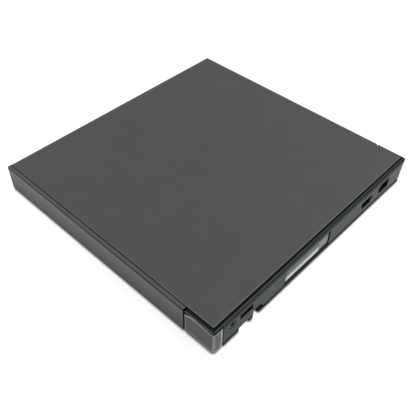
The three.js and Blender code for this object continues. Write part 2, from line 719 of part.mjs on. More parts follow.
const plungerFront = front + button.wall + button.ribReach + gap;
const switchFront = bulkheadBack + gap;

function ejectSwitch() {
  const half = tactSwitch.width / 2;
  const body = slab(
    switchX - half, switchX + half,
    switchFront, switchFront + tactSwitch.depth,
    boardTop, boardTop + tactSwitch.height,
  );
  const bore = roundY(
    switchX, switchLevel, tactSwitch.plungerRadius + gap,
    switchFront - overrun, switchFront + tactSwitch.bore, pinSides,
  );
  return body.subtract(bore);
}

function switchPlunger() {
  const end = switchFront + tactSwitch.bore - button.travel - gap;
  return roundY(switchX, switchLevel, tactSwitch.plungerRadius, plungerFront, end, pinSides);
}

function statusLed() {
  const x = stripMiddle;
  const z = legLevel;
  const end = bulkheadBack + led.length;
  const lamp = roundY(x, z, led.radius, bulkheadBack - housing.bulkhead / 2, end, pinSides);
  const flange = roundY(x, z, led.radius + led.rim, end - led.flange, end, pinSides);
  const legs = slab(x - led.leg, x + led.leg, end - led.flange, end, boardTop, z);
  return joined([lamp, flange, legs]);
}

// Interface board and sockets

function interfaceBoard() {
  const y1 = back - housing.wall - board.margin;
  const strip = slab(boardLeft, boardRight, switchFront, y1, board.low, boardTop);
  const branch = slab(
    driveMiddle - board.branchReach, boardLeft + overrun,
    driveBack + board.branchGap, y1,
    board.low, boardTop,
  );
  const x0 = driveMiddle + driveSocket.x - driveSocket.width / 2;
  const socketFront = driveBack + driveSocket.reach + gap;
  const socket = slab(
    x0, x0 + driveSocket.width,
    socketFront, socketFront + boardSocket.depth,
    boardTop - gap, boardSocket.high,
  );
  const chipMiddle = fromFront((labelRecess.start + labelRecess.end) / 2);
  const bridge = slab(
    boardLeft + board.margin, boardRight - board.margin,
    chipMiddle - chip.size / 2, chipMiddle + chip.size / 2,
    boardTop - gap, boardTop + chip.height,
  );
  const room = screwPlaces.map((place) => {
    return roundZ(place.x, place.y, housing.postRadius + gap, board.low - overrun, boardTop + overrun);
  });
  return joined([strip, branch, socket, bridge]).subtract(joined(room));
}

function dcJack() {
  const y = fromFront(jackHole.fromFront);
  const z = jackLevel;
  const face = right - jack.shoulder / 2;
  const barrel = roundX(y, z, jack.barrel, wallInside - jack.nose, face);
  const body = slab(
    wallInside - gap - jack.length, wallInside - gap,
    y - jack.block / 2, y + jack.block / 2,
    boardTop, z + jack.barrel + jack.shoulder,
  );
  const bore = roundX(y, z, jack.bore, face - jack.boreDepth, face + overrun, pinSides);
  return body.add(barrel).subtract(bore);
}

function jackPin() {
  const face = right - jack.shoulder / 2;
  return roundX(
    fromFront(jackHole.fromFront), jackLevel, jack.pin,
    face - jack.boreDepth, face - jack.pinShort, pinSides,
  );
}

function shellOf(outlineAt) {
  const mouth = wallInside - gap;
  const tail = mouth - portShell.length;
  const outer = prismX(outlineAt(gap), tail, mouth);
  const inner = prismX(outlineAt(gap + portShell.sheet), tail + portShell.sheet, mouth + overrun);
  const points = outlineAt(gap);
  const ys = points.map((point) => point.x);
  const middle = (Math.min(...ys) + Math.max(...ys)) / 2;
  const padHalf = ((Math.max(...ys) - Math.min(...ys)) * portShell.padShare) / 2;
  const pad = slab(
    tail, boardRight - gap,
    middle - padHalf, middle + padHalf,
    boardTop, portLow + gap + portShell.sheet / 2,
  );
  return outer.add(pad).subtract(inner);
}

function tongueOf(port, start) {
  const mouth = wallInside - gap;
  const tail = mouth - portShell.length + portShell.sheet;
  const y = fromFront(start + port.width / 2);
  const z = portLow + port.height / 2;
  const half = (port.width * portShell.tongueShare) / 2;
  return slab(
    tail, mouth - portShell.tongueShort,
    y - half, y + half,
    z - portShell.tongue / 2, z + portShell.tongue / 2,
  );
}

function blankLabel() {
  const x0 = right - labelRecess.depth;
  return slab(
    x0, x0 + label.thickness,
    fromFront(labelRecess.start) + label.frontInset, fromFront(labelRecess.end) - label.backInset,
    edgeTop + labelRecess.ledge + label.lowInset, rimLow - labelRecess.drop - label.highInset,
  );
}

// Slim drive

const wallTop = driveHeight - drive.cover;
const guideOuter = driveHalf - drive.wall;
const guideInner = guideOuter - guide.depth;
const trayHalf = guideInner - gap;
const latchX = trayHalf - tray.beam - latch.beamGap;
const latchPostX = latchX + latch.arm / 2 + gap + latch.postRadius;
const driveBoardHalf = driveHalf - driveBoard.sideInset;
const driveBoardEnd = driveDepth - driveBoard.backSetback;
const driveBoardStart = driveBoardEnd - driveBoard.depth;

function driveBase() {
  const floor = slab(-driveHalf, driveHalf, 0, driveDepth, 0, drive.floor);
  const sides = [-1, 1].map((sign) => {
    const x = sign * (driveHalf - drive.wall / 2);
    return slab(x - drive.wall / 2, x + drive.wall / 2, 0, driveDepth, 0, wallTop);
  });
  const rear = slab(-driveHalf, driveHalf, driveDepth - drive.wall, driveDepth, 0, wallTop);
  const socketRoom = slab(
    driveSocket.x - driveSocket.width / 2 - gap, driveSocket.x + driveSocket.width / 2 + gap,
    driveDepth - drive.wall - overrun, driveDepth + overrun,
    driveSocket.low - gap, driveSocket.high + gap,
  );
  const topHalf = (bead.width * bead.topShare) / 2;
  const beads = Array.from({ length: bead.count }, (_, index) => {
    const y = bead.start + index * bead.pitch;
    const points = outline([
      [y - bead.width / 2, 0, 0],
      [y + bead.width / 2, 0, 0],
      [y + topHalf, drive.floor + bead.height, 0],
      [y - topHalf, drive.floor + bead.height, 0],
    ]);
    return prismX(points, -driveHalf + bead.inset, driveHalf - bead.inset);
  });
  const post = roundZ(latchPostX, latch.y + latch.reach, latch.postRadius, 0, latch.postHeight, pinSides);
  const boardPads = drivePosts.map(({ x, y }) => {
    return roundZ(x, y, driveBoard.postRadius, 0, driveBoard.low, pinSides);
  });
  return joined([floor, ...sides, rear, ...beads, post, ...boardPads]).subtract(socketRoom);
}

const drivePosts = [-1, 1].flatMap((sign) => {
  const x = sign * (driveBoardHalf - driveBoard.postRadius * 2);
  return [
    { x, y: driveBoardStart + driveBoard.postRadius * 2 },
    { x, y: driveBoardEnd - driveBoard.postRadius * 2 },
  ];
});

function driveCover() {
  const plate = slab(-driveHalf, driveHalf, 0, driveDepth, wallTop, driveHeight);
  const tabs = [-1, 1].map((sign) => {
    const x = sign * (driveHalf - drive.wall - coverTab.thickness / 2);
    return slab(
      x - coverTab.thickness / 2, x + coverTab.thickness / 2,
      coverTab.start, driveDepth - coverTab.backSetback,
      wallTop - coverTab.height + drive.cover, driveHeight,
    );
  });
  const dishLow = driveHeight - drive.cover / 2;
  const dish = roundZ(0, discCentre, tray.smallDiscRadius, dishLow, driveHeight + overrun, discSides);
  return plate.subtract(dish).add(joined(tabs));
}

function railGuide(sign) {
  const outer = sign * guideOuter;
  const inner = sign * guideInner;
  const points = [
    [outer, guide.low], [inner, guide.low], [inner, guide.low + guide.lip],
    [outer - sign * guide.back, guide.low + guide.lip], [outer - sign * guide.back, guide.high - guide.lip],
    [inner, guide.high - guide.lip], [inner, guide.high], [outer, guide.high],
  ].map(([x, z]) => new THREE.Vector2(x, z));
  return prismY(sign > 0 ? points.reverse() : points, guide.start, driveDepth - guide.backSetback);
}

const sliderLow = guide.low + guide.lip + gap;
const sliderHigh = guide.high - guide.lip - gap;
const sliderOuter = guideOuter - guide.back - gap;
const sliderInner = sliderOuter - slider.width;

function slideRail(sign) {
  const x0 = Math.min(sign * sliderInner, sign * sliderOuter);
  const x1 = Math.max(sign * sliderInner, sign * sliderOuter);
  const end = driveDepth - slider.backSetback;
  const bar = slab(x0, x1, slider.start, end, sliderLow, sliderHigh);
  const middle = (x0 + x1) / 2;
  const relief = slab(
    middle - slider.web / 2, middle + slider.web / 2,
    slider.start + slider.width, end - slider.width,
    sliderLow + slider.grooveDepth, sliderHigh + overrun,
  );
  return bar.subtract(relief);
}

// Tray

const deckHalf = driveHalf - drive.wall - coverTab.thickness - gap;
const trayFront = seat - bezel.seam - gap;
const trayBack = driveDepth - tray.backSetback;
const traverseOuter = -tray.discRadius - traverse.pastDisc;
const windowOuter = traverseOuter + traverse.windowWall;
const leadScrewEnd = traverseOuter + leadScrew.endSetback;
const channelLow = (guide.low + guide.high - tray.channelHeight) / 2;

function traverseToTray(solid) {
  return solid.rotate([0, 0, THREE.MathUtils.radToDeg(traverse.turn)]).translate([0, discCentre, 0]);
}

function discTray() {
  const deckLow = guide.high + tray.deckGap;
  const deckOutline = rectangle(-deckHalf, deckHalf, trayFront + gap, trayBack, even(tray.corner));
  const deck = prismZ(deckOutline, deckLow, tray.deck);
  const core = slab(-trayHalf, trayHalf, trayFront, trayBack, tray.underside, tray.deck);
  const beams = [-1, 1].map((sign) => {
    const x0 = Math.min(sign * trayHalf, sign * (trayHalf - tray.beam));
    return slab(x0, x0 + tray.beam, trayFront, trayBack, tray.beamLow, tray.underside + gap);
  });
  const channels = [-1, 1].map((sign) => {
    const deep = sign * (trayHalf - tray.channelDepth);
    const open = sign * (trayHalf + overrun);
    return slab(
      Math.min(deep, open), Math.max(deep, open),
      tray.frontWall, trayBack + overrun,
      channelLow, channelLow + tray.channelHeight,
    );
  });
  const frontWall = slab(-trayHalf, trayHalf, trayFront, tray.frontWall, tray.frontLow, tray.deck);
  const ribs = [-1, 1].map((sign) => slab(
    sign * (trayHalf / 2) - tray.rib / 2, sign * (trayHalf / 2) + tray.rib / 2,
    discCentre + spindle.plateRadius * 2, driveBoardEnd - driveSocket.reach - gap * 2,
    tray.underside - tray.ribHeight, tray.underside + gap,
  ));
  const recess = roundZ(0, discCentre, tray.discRadius, tray.recess, tray.deck + overrun, discSides);
  const smallRecess = roundZ(0, discCentre, tray.smallDiscRadius, tray.smallRecess, tray.deck, discSides);
  const fingerMiddle = trayFront + tray.frontWall * 2;
  const finger = roundZ(0, fingerMiddle, tray.fingerRadius, tray.recess, tray.deck + overrun);
  const spindleHole = roundZ(0, discCentre, spindle.plateRadius + overrun, 0, tray.deck);
  const lensWindow = traverseToTray(slab(
    -traverse.windowHalf, traverse.windowHalf, windowOuter - gap, 0, 0, tray.deck,
  ));
  const guideRoom = [-1, 1].map((sign) => {
    const inner = sign * trayHalf;
    const outer = sign * (deckHalf + overrun);
    return slab(
      Math.min(inner, outer), Math.max(inner, outer),
      trayFront - overrun, trayBack + overrun,
      0, deckLow,
    );
  });
  const pivot = roundZ(latchX, latch.y, latch.pivotRadius, latch.low - gap, tray.underside + gap, pinSides);
  const whole = joined([deck, core, ...beams, frontWall, ...ribs, pivot]);
  const cuts = [recess, smallRecess, finger, spindleHole, lensWindow, ...channels, ...guideRoom];
  return whole.subtract(joined(cuts));
}

// Traverse: a plate with a window, two rods, a screw and the sledge that carries the lens

const traverseTop = traverse.low + traverse.thickness;
const dampers = [
  { name: 'damper_inner_left', x: traverse.left + damper.inset, y: traverse.inner - damper.inset },
  { name: 'damper_inner_right', x: traverse.right - damper.inset, y: traverse.inner - damper.inset },
  { name: 'damper_outer_left', x: traverse.left + damper.inset / 2 + gap, y: traverseOuter / 2 },
  { name: 'damper_outer_right', x: traverse.right - damper.inset, y: traverseOuter / 2 - damper.inset },
];

function traverseFrame() {
  const plate = prismZ(
    rectangle(traverse.left, traverse.right, traverseOuter, traverse.inner, even(traverse.corner)),
    traverse.low, traverseTop,
  );
  const windowOutline = rectangle(
    -traverse.windowHalf, traverse.windowHalf,
    windowOuter, traverse.windowInner, even(carriage.corner),
  );
  const window = prismZ(windowOutline, traverse.low - overrun, traverseTop + overrun);
  const hole = roundZ(0, 0, traverse.motorHole, traverse.low - overrun, traverseTop + overrun);
  const brackets = [-1, 1].flatMap((sign) => [traverseOuter, traverse.windowInner].map((y) => {
    const x = sign * rod.offset;
    const half = rod.radius * 2;
    const y0 = y - overrun;
    const y1 = y + traverse.bracket + overrun;
    const block = slab(x - half, x + half, y, y + traverse.bracket, traverse.bracketLow, traverse.low + gap);
    const bore = roundY(x, rod.height, rod.radius + rod.fit, y0, y1, pinSides);
    const mouth = slab(x - rod.radius, x + rod.radius, y0, y1, 0, rod.height);
    return block.subtract(bore.add(mouth));
  }));
  const ears = [leadScrew.start - leadScrew.ear - gap, leadScrewEnd].map((y) => {
    const x = leadScrew.offset;
    const ear = slab(
      x - leadScrew.earHalf, traverse.left + gap,
      y, y + leadScrew.ear,
      leadScrew.height - leadScrew.earHalf, traverseTop,
    );
    const bore = roundY(
      x, leadScrew.height, leadScrew.radius + gap,
      y - overrun, y + leadScrew.ear + overrun, pinSides,
    );
    return ear.subtract(bore);
  });
  const motorRoom = roundY(
    leadScrew.offset, leadScrew.height, sledMotor.radius + gap,
    leadScrew.start - gap, leadScrew.start + sledMotor.length + gap * 2,
  );
  return plate.subtract(window.add(hole)).add(joined(brackets)).subtract(motorRoom).add(joined(ears));
}

function spindleMotor() {
  const stator = roundZ(0, 0, motor.radius, motor.low, motor.high);
  const flange = roundZ(0, 0, motor.flangeRadius, traverse.low - motor.flange, traverse.low - seat);
  const slots = Array.from({ length: motor.slots }, (_, index) => {
    const slot = slab(
      motor.radius - motor.slotDepth, motor.radius + overrun,
      -motor.slotWidth / 2, motor.slotWidth / 2,
      traverse.low + gap, motor.high + overrun,
    );
    return slot.rotate([0, 0, (fullTurn / motor.slots) * index]);
  });
  return stator.subtract(joined(slots)).add(flange);
}

function turntable() {
  const canLow = motor.high + spindle.runGap;
  const plateLow = spindle.seat - spindle.plate;
  const hubTop = spindle.seat + spindle.hub;
  const noseTop = hubTop + spindle.nose;
  const body = turned([
    [0, canLow],
    [spindle.canRadius, canLow],
    [spindle.canRadius, canLow + spindle.canHeight],
    [spindle.plateRadius, plateLow + gap],
    [spindle.plateRadius, spindle.seat],
    [spindle.hubRadius, spindle.seat],
    [spindle.hubRadius, hubTop],
    [spindle.hubRadius - spindle.nose, noseTop],
    [spindle.dish, noseTop],
    [spindle.dish, noseTop - spindle.dishDepth],
    [0, noseTop - spindle.dishDepth],
  ], turntableSides);
  const claws = Array.from({ length: spindle.claws }, (_, index) => {
    const ball = new THREE.SphereGeometry(spindle.clawRadius, ballSides, ballSides / 2);
    const placed = toSolid(ball.translate(spindle.hubRadius - spindle.clawRadius / 2, 0, hubTop - gap));
    return placed.rotate([0, 0, (fullTurn / spindle.claws) * index]);
  });
  return body.add(joined(claws));
}

function guideRod(sign) {
  const inner = traverse.windowInner + traverse.bracket;
  return roundY(sign * rod.offset, rod.height, rod.radius, traverseOuter, inner, pinSides);
}

function screwShaft() {
  const end = leadScrewEnd - gap;
  return roundY(leadScrew.offset, leadScrew.height, leadScrew.radius, end, leadScrew.start, pinSides);
}

function screwMotor() {
  const y0 = leadScrew.start + gap;
  const can = roundY(leadScrew.offset, leadScrew.height, sledMotor.radius, y0, y0 + sledMotor.length);
  const flats = slab(
    leadScrew.offset - sledMotor.radius - overrun, leadScrew.offset + sledMotor.radius + overrun,
    y0 - overrun, y0 + sledMotor.length + overrun,
    leadScrew.height - sledMotor.flat, leadScrew.height + sledMotor.flat,
  );
  const bridge = slab(
    leadScrew.offset - sledMotor.radius / 2, leadScrew.offset + sledMotor.radius / 2,
    y0 + gap, y0 + sledMotor.length - gap,
    leadScrew.height, tray.underside,
  );
  return can.intersect(flats).add(bridge);
}

function pickupCarriage() {
  const y0 = carriage.rest - carriage.ahead;
  const y1 = carriage.rest + carriage.behind;
  const body = prismZ(
    rectangle(-carriage.halfWidth, carriage.halfWidth, y0, y1, even(carriage.corner)),
    carriage.low, carriage.high,
  );
  const domeTop = carriage.high + carriage.dome;
  const dome = roundZ(0, carriage.rest, carriage.domeRadius, carriage.high - gap, domeTop);
  const bosses = [-1, 1].map((sign) => {
    const x = sign * rod.offset;
    const root = sign * (carriage.halfWidth - carriage.corner);
    const tip = x + sign * carriage.bossHalf;
    const boss = slab(
      Math.min(root, tip), Math.max(root, tip),
      carriage.rest - carriage.bossLength, carriage.rest + carriage.bossLength,
      carriage.bossLow, traverse.low - gap,
    );
    return boss.subtract(roundY(x, rod.height, rod.radius + rod.fit, y0 - overrun, y1 + overrun, pinSides));
  });
  const tooth = slab(
    leadScrew.offset - leadScrew.radius, -rod.offset - carriage.bossHalf / 2,
    carriage.rest - carriage.bossLength / 2, carriage.rest + carriage.bossLength / 2,
    carriage.toothLow, carriage.toothLow + carriage.tooth,
  );
  const rodRoom = [-1, 1].map((sign) => {
    return roundY(sign * rod.offset, rod.height, rod.radius + rod.fit, y0 - overrun, y1 + overrun, pinSides);
  });
  const lensRoom = slab(
    -lens.half - gap, lens.half + gap,
    carriage.rest - lens.length / 2 - gap, carriage.rest + lens.length / 2 + gap,
    carriage.high - lens.travel - gap, domeTop + overrun,
  );
  return joined([body, dome, ...bosses, tooth]).subtract(joined(rodRoom)).subtract(lensRoom);
}

function lensHolder() {
  const low = carriage.high;
  const high = low + lens.height;
  const y = carriage.rest;
  const body = slab(-lens.half, lens.half, y - lens.length / 2, y + lens.length / 2, low, high);
  const bulb = turned([
    [0, high - lens.bulge], [lens.radius, high - lens.bulge], [lens.radius, high],
    [lens.radius / 2, high + lens.bulge * lens.shoulderShare], [0, high + lens.bulge],
  ], roundSides / 2);
  return body.add(bulb.translate([0, y, 0]));
}

function dampingBush(place) {
  const top = tray.underside;
  const shoulder = (top - traverseTop) * damper.waistShare;
  const bush = turned([
    [0, traverseTop], [damper.radius, traverseTop], [damper.radius, traverseTop + gap],
    [damper.waist, traverseTop + shoulder], [damper.waist, top - shoulder],
    [damper.radius, top - gap], [damper.radius, top], [0, top],
  ], roundSides / 2);
  return bush.translate([place.x, place.y, 0]);
}

// Latch

// The hook stands released at rest. Closed, its claw lies behind the post on the drive base.
function latchHook() {
  const half = latch.arm / 2;
  const high = latch.low + latch.thickness;
  const clawFront = latch.reach + latch.postRadius + gap;
  const clawTip = half + gap + latch.postRadius + latch.postRadius / 2;
  const arm = outline([
    [-half, 0, 0],
    [half, 0, 0],
    [half, clawFront, 0],
    [clawTip, clawFront, gap],
    [clawTip, clawFront + latch.claw, gap],
    [-half, clawFront + latch.claw, gap],
  ]);
  const lever = prismZ(arm, latch.low, high).add(roundZ(0, 0, latch.hub, latch.low, high));
  const bore = roundZ(0, 0, latch.pivotRadius + gap, latch.low - overrun, high + overrun, pinSides);
  const open = THREE.MathUtils.radToDeg(latch.open);
  return lever.subtract(bore).rotate([0, 0, open]).translate([latchX, latch.y, 0]);
}

function latchSolenoid() {
  const x0 = latchX - solenoid.aside - solenoid.width / 2;
  const x1 = x0 + solenoid.width;
  const y0 = latch.y - solenoid.forward - solenoid.length / 2;
  const y1 = y0 + solenoid.length;
  const yoke = slab(x0, x1, y0, y1, solenoid.low, tray.underside);
  const inner = slab(
    x0 - overrun, x0 + solenoid.coil, y0 + solenoid.cheek, y1 - solenoid.cheek,
    solenoid.low - overrun, tray.underside - solenoid.cheek,
  );
  const outer = inner.translate([solenoid.width + overrun - solenoid.coil, 0, 0]);
  return yoke.subtract(inner.add(outer));
}

// Drive board and flex

function mainBoard() {
  const top = driveBoard.low + driveBoard.thickness;
  const plate = slab(-driveBoardHalf, driveBoardHalf, driveBoardStart, driveBoardEnd, driveBoard.low, top);
  const middle = (driveBoardStart + driveBoardEnd) / 2;
  const chips = [-1, 0].map((index) => slab(
    index * chip.pitch - chip.size / 2, index * chip.pitch + chip.size / 2,
    middle - chip.size / 2, middle + chip.size / 2,
    top - gap, top + chip.height,
  ));
  const socket = slab(
    driveSocket.x - driveSocket.width / 2, driveSocket.x + driveSocket.width / 2,
    driveBoardEnd - driveSocket.reach, driveDepth + driveSocket.reach,
    driveSocket.low, driveSocket.high,
  );
  const lead = slab(
    driveSocket.x - driveSocket.width / 2, driveSocket.x + driveSocket.width / 2,
    driveBoardEnd - driveSocket.reach, driveBoardEnd,
    top - gap, driveSocket.low + gap,
  );
  return joined([plate, ...chips, socket, lead]);
}

function flatFlex() {
  const level = driveBoard.low + driveBoard.thickness;
  const x0 = flex.x - flex.width / 2;
  const x1 = flex.x + flex.width / 2;
  const start = driveBoardStart - flex.reach;
  const bend = driveBoardStart - gap * 2;
  const end = driveBoardStart + flex.overlap;
  const points = [
    [start, drive.floor], [bend, drive.floor], [bend, level],
    [end, level], [end, level + flex.thickness],
    [bend - flex.thickness, level + flex.thickness],
    [bend - flex.thickness, drive.floor + flex.thickness],
    [start, drive.floor + flex.thickness],
  ].map(([y, z]) => new THREE.Vector2(y, z));
  return prismX(points, x0, x1);
}

// Assembly

const dvdDrive = new THREE.Group();

piece(dvdDrive, 'bottom_cover', bottomCover(), finishes.black);
piece(dvdDrive, 'top_cover', topCover(), finishes.lid);
piece(dvdDrive, 'side_housing', sideHousing(), finishes.housing);
piece(dvdDrive, 'glossy_rim', glossyRim(), finishes.glossBlack);
piece(dvdDrive, 'rating_label', blankLabel(), finishes.paper);
footPlaces.forEach((place) => {
  const pad = roundZ(place.x, place.y, foot.radius, 0, floorLow + foot.recess);
  piece(dvdDrive, place.name, pad, finishes.rubber);
});
screwPlaces.forEach((place, index) => {
  piece(dvdDrive, `case_screw_${index + 1}`, caseScrew(place), finishes.zinc);
});
piece(dvdDrive, 'eject_button', ejectButton(), finishes.smoked);
piece(dvdDrive, 'eject_switch', ejectSwitch(), finishes.socket);
piece(dvdDrive, 'switch_plunger', switchPlunger(), finishes.paper);
piece(dvdDrive, 'status_led', statusLed(), finishes.glass);
piece(dvdDrive, 'interface_board', interfaceBoard(), finishes.board);
piece(dvdDrive, 'small_port_shell', shellOf(smallPortOutline), finishes.steel);
piece(dvdDrive, 'small_port_tongue', tongueOf(smallPort, smallPortStart), finishes.socket);
piece(dvdDrive, 'large_port_shell', shellOf(largePortOutline), finishes.steel);
piece(dvdDrive, 'large_port_tongue', tongueOf(largePort, largePortStart), finishes.socket);
piece(dvdDrive, 'dc_jack', dcJack(), finishes.socket);
piece(dvdDrive, 'dc_jack_pin', jackPin(), finishes.steel);
piece(dvdDrive, 'tray_bezel', trayBezel(), finishes.bezel);

const slimDrive = new THREE.Group();
slimDrive.position.set(driveMiddle, driveFront, floorTop);
dvdDrive.add(slimDrive);

piece(slimDrive, 'drive_base', driveBase(), finishes.steel);
piece(slimDrive, 'drive_cover', driveCover(), finishes.steel);
piece(slimDrive, 'rail_guide_left', railGuide(-1), finishes.black);
piece(slimDrive, 'rail_guide_right', railGuide(1), finishes.black);
piece(slimDrive, 'slide_rail_left', slideRail(-1), finishes.darkSteel);
piece(slimDrive, 'slide_rail_right', slideRail(1), finishes.darkSteel);
piece(slimDrive, 'drive_board', mainBoard(), finishes.board);
piece(slimDrive, 'flat_flex', flatFlex(), finishes.amber);
piece(slimDrive, 'disc_tray', discTray(), finishes.trayBlack);
piece(slimDrive, 'latch_hook', latchHook(), finishes.darkSteel);
piece(slimDrive, 'latch_solenoid', latchSolenoid(), finishes.copper);

const mechanism = new THREE.Group();
mechanism.position.set(0, discCentre, 0);
mechanism.rotation.z = traverse.turn;
slimDrive.add(mechanism);

piece(mechanism, 'traverse_frame', traverseFrame(), finishes.darkSteel);
piece(mechanism, 'spindle_motor', spindleMotor(), finishes.zinc);
piece(mechanism, 'turntable', turntable(), finishes.black);
piece(mechanism, 'guide_rod_left', guideRod(-1), finishes.steel);
piece(mechanism, 'guide_rod_right', guideRod(1), finishes.steel);
piece(mechanism, 'lead_screw', screwShaft(), finishes.steel);
piece(mechanism, 'sled_motor', screwMotor(), finishes.darkSteel);
piece(mechanism, 'pickup_carriage', pickupCarriage(), finishes.zinc);
piece(mechanism, 'lens_holder', lensHolder(), finishes.glass);
dampers.forEach((place) => {
  piece(mechanism, place.name, dampingBush(place), finishes.rubber);
});

export default dvdDrive;
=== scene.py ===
"""The looks of an external disc drive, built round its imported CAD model."""

import math
import random

import bpy
from mathutils import Matrix, Vector


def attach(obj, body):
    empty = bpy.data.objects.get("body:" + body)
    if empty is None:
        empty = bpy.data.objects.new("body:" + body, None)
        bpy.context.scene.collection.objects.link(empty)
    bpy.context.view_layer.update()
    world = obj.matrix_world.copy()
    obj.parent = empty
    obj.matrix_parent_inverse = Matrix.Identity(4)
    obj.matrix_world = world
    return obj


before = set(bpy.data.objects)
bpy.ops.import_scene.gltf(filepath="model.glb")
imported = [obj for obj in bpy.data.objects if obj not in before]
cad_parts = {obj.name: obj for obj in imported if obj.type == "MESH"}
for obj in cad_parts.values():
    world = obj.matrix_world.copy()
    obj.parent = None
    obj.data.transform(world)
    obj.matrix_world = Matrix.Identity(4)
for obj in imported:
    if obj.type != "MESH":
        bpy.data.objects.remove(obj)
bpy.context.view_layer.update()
MM = 0.001

# Planes of the case and its front, in millimetres
RIGHT, FRONT, BACK, TOP = 74.0, -76.7, 76.7, 16.0
LID_RIGHT, LID_FRONT = 71.75, -74.2
BUTTON_LEFT = 57.0


# Camera
def place_camera():
    azimuth, elevation, roll = (math.radians(a) for a in (42.322, 45.267, 1.198))
    target = Vector((12.097, -13.994, 0)) * MM
    distance = 303.016 * MM
    back = Vector((
        math.sin(azimuth) * math.cos(elevation),
        -math.cos(azimuth) * math.cos(elevation),
        math.sin(elevation),
    ))
    level = Vector((0, 0, 1)).cross(back).normalized()
    upright = back.cross(level)
    right = level * math.cos(roll) + upright * math.sin(roll)
    up = upright * math.cos(roll) - level * math.sin(roll)
    data = bpy.data.cameras.new("camera")
    data.sensor_width = 36
    data.lens = 49.361
    data.clip_start = 0.01
    camera = bpy.data.objects.new("camera", data)
    bpy.context.scene.collection.objects.link(camera)
    turn = Matrix((right, up, back)).transposed().to_4x4()
    camera.matrix_world = Matrix.Translation(target + back * distance) @ turn
    bpy.context.scene.camera = camera


place_camera()
bpy.context.scene.view_settings.view_transform = "Standard"


# Material nodes
class Shade:
    """A material whose nodes are made and joined by short calls. Lengths are in millimetres."""

    def __init__(self, name):
        self.material = bpy.data.materials.new(name)
        self.material.use_nodes = True
        self.tree = self.material.node_tree
        self.shader = self.tree.nodes["Principled BSDF"]
        self.place = self.node("ShaderNodeTexCoord").outputs["Object"]

    def node(self, kind, **settings):
        made = self.tree.nodes.new(kind)
        for key, value in settings.items():
            setattr(made, key, value)
        return made

    def join(self, source, target):
        self.tree.links.new(source, target)

    def feed(self, node, values):
        for key, value in values.items():
            if isinstance(value, bpy.types.NodeSocket):
                self.join(value, node.inputs[key])
            else:
                node.inputs[key].default_value = value
        return node

    def noise(self, size, detail=2.0, rough=0.5, place=None):
        node = self.feed(self.node("ShaderNodeTexNoise"), {
            "Vector": place or self.place, "Scale": 1 / (size * MM),
            "Detail": detail, "Roughness": rough,
        })
        return node.outputs["Fac"]

    def cells(self, size, feature="F1", place=None):
        node = self.feed(self.node("ShaderNodeTexVoronoi", feature=feature), {
            "Vector": place or self.place, "Scale": 1 / (size * MM),
        })
        return node.outputs["Distance"]

    def stretched(self, x, y, z, turn=0.0):
        node = self.feed(self.node("ShaderNodeMapping"), {
            "Vector": self.place, "Rotation": (0, 0, turn), "Scale": (x, y, z),
        })
        return node.outputs["Vector"]

    def parts(self, vector):
        return self.feed(self.node("ShaderNodeSeparateXYZ"), {0: vector}).outputs

    def axes(self):
        """Object place along each axis."""
        scale = self.node("ShaderNodeVectorMath", operation="SCALE")
        return self.parts(self.feed(scale, {0: self.place, "Scale": 1 / MM}).outputs[0])

    def facing(self):
        """Components of the surface's own direction."""
        return self.parts(self.node("ShaderNodeTexCoord").outputs["Normal"])

    def math(self, operation, first, second=0.0):
        node = self.node("ShaderNodeMath", operation=operation)
        return self.feed(node, {0: first, 1: second}).outputs[0]

    def larger(self, first, second):
        return self.math("MAXIMUM", first, second)

    def times(self, *factors):
        whole = factors[0]
        for factor in factors[1:]:
            whole = self.math("MULTIPLY", whole, factor)
        return whole

    def slanted(self, value, start, height, slope):
        """A straight line that has the given height at the start."""
        run = self.math("SUBTRACT", value, start)
        return self.math("ADD", self.times(run, slope), height)

    def span(self, value, low, high, start=0.0, end=1.0):
        node = self.feed(self.node("ShaderNodeMapRange"), {
            "Value": value, "From Min": start, "From Max": end, "To Min": low, "To Max": high,
        })
        return node.outputs[0]

    def above(self, value, start, soft=0.1):
        return self.span(value, 0.0, 1.0, start, start + soft)

    def below(self, value, end, soft=0.1):
        return self.span(value, 1.0, 0.0, end - soft, end)

    def within(self, value, start, end, soft=0.1):
        return self.times(self.above(value, start, soft), self.below(value, end, soft))

    def edges(self, width):
        """Near one along edges and small roundings, zero on flat faces."""
        sharp, flat = 0.75, 0.985
        rounded = self.node("ShaderNodeBevel", samples=6)
        rounded.inputs["Radius"].default_value = width * MM
        plain = self.node("ShaderNodeNewGeometry").outputs["Normal"]
        dot = self.node("ShaderNodeVectorMath", operation="DOT_PRODUCT")
        self.join(rounded.outputs["Normal"], dot.inputs[0])
        self.join(plain, dot.inputs[1])
        return self.span(dot.outputs["Value"], 1.0, 0.0, sharp, flat)

    def mix(self, factor, first, second):
        node = self.node("ShaderNodeMix", data_type="RGBA")
        sockets = node.inputs[0], node.inputs[6], node.inputs[7]
        for socket, value in zip(sockets, (factor, first, second)):
            if isinstance(value, bpy.types.NodeSocket):
                self.join(value, socket)
            else:
                socket.default_value = (*value, 1) if isinstance(value, tuple) else value
        return node.outputs[2]

    def bump(self, height, depth):
        node = self.feed(self.node("ShaderNodeBump"), {
            "Strength": 1.0, "Distance": depth * MM, "Height": height,
        })
        return node.outputs["Normal"]

    def set(self, **values):
        self.feed(self.shader, {key.replace("_", " "): value for key, value in values.items()})

    def gloss(self, level, coat=0.0):
        self.shader.inputs["Specular IOR Level"].default_value = level
        self.shader.inputs["Coat Weight"].default_value = coat
        self.shader.inputs["Coat Roughness"].default_value = 0.06


def linear(*colour):
    """Screen colour from 0 to 255 as a linear colour."""
    shares = (c / 255 for c in colour)
    return tuple(s / 12.92 if s <= 0.04045 else ((s + 0.055) / 1.055) ** 2.4 for s in shares)


def toned(colour, share):
    return tuple(c * share for c in colour)


def spread(shade, factor, colour, amount):
    """The colour, from darker to paler by the given share as the factor rises."""
    return shade.mix(factor, toned(colour, 1 - amount), toned(colour, 1 + amount))


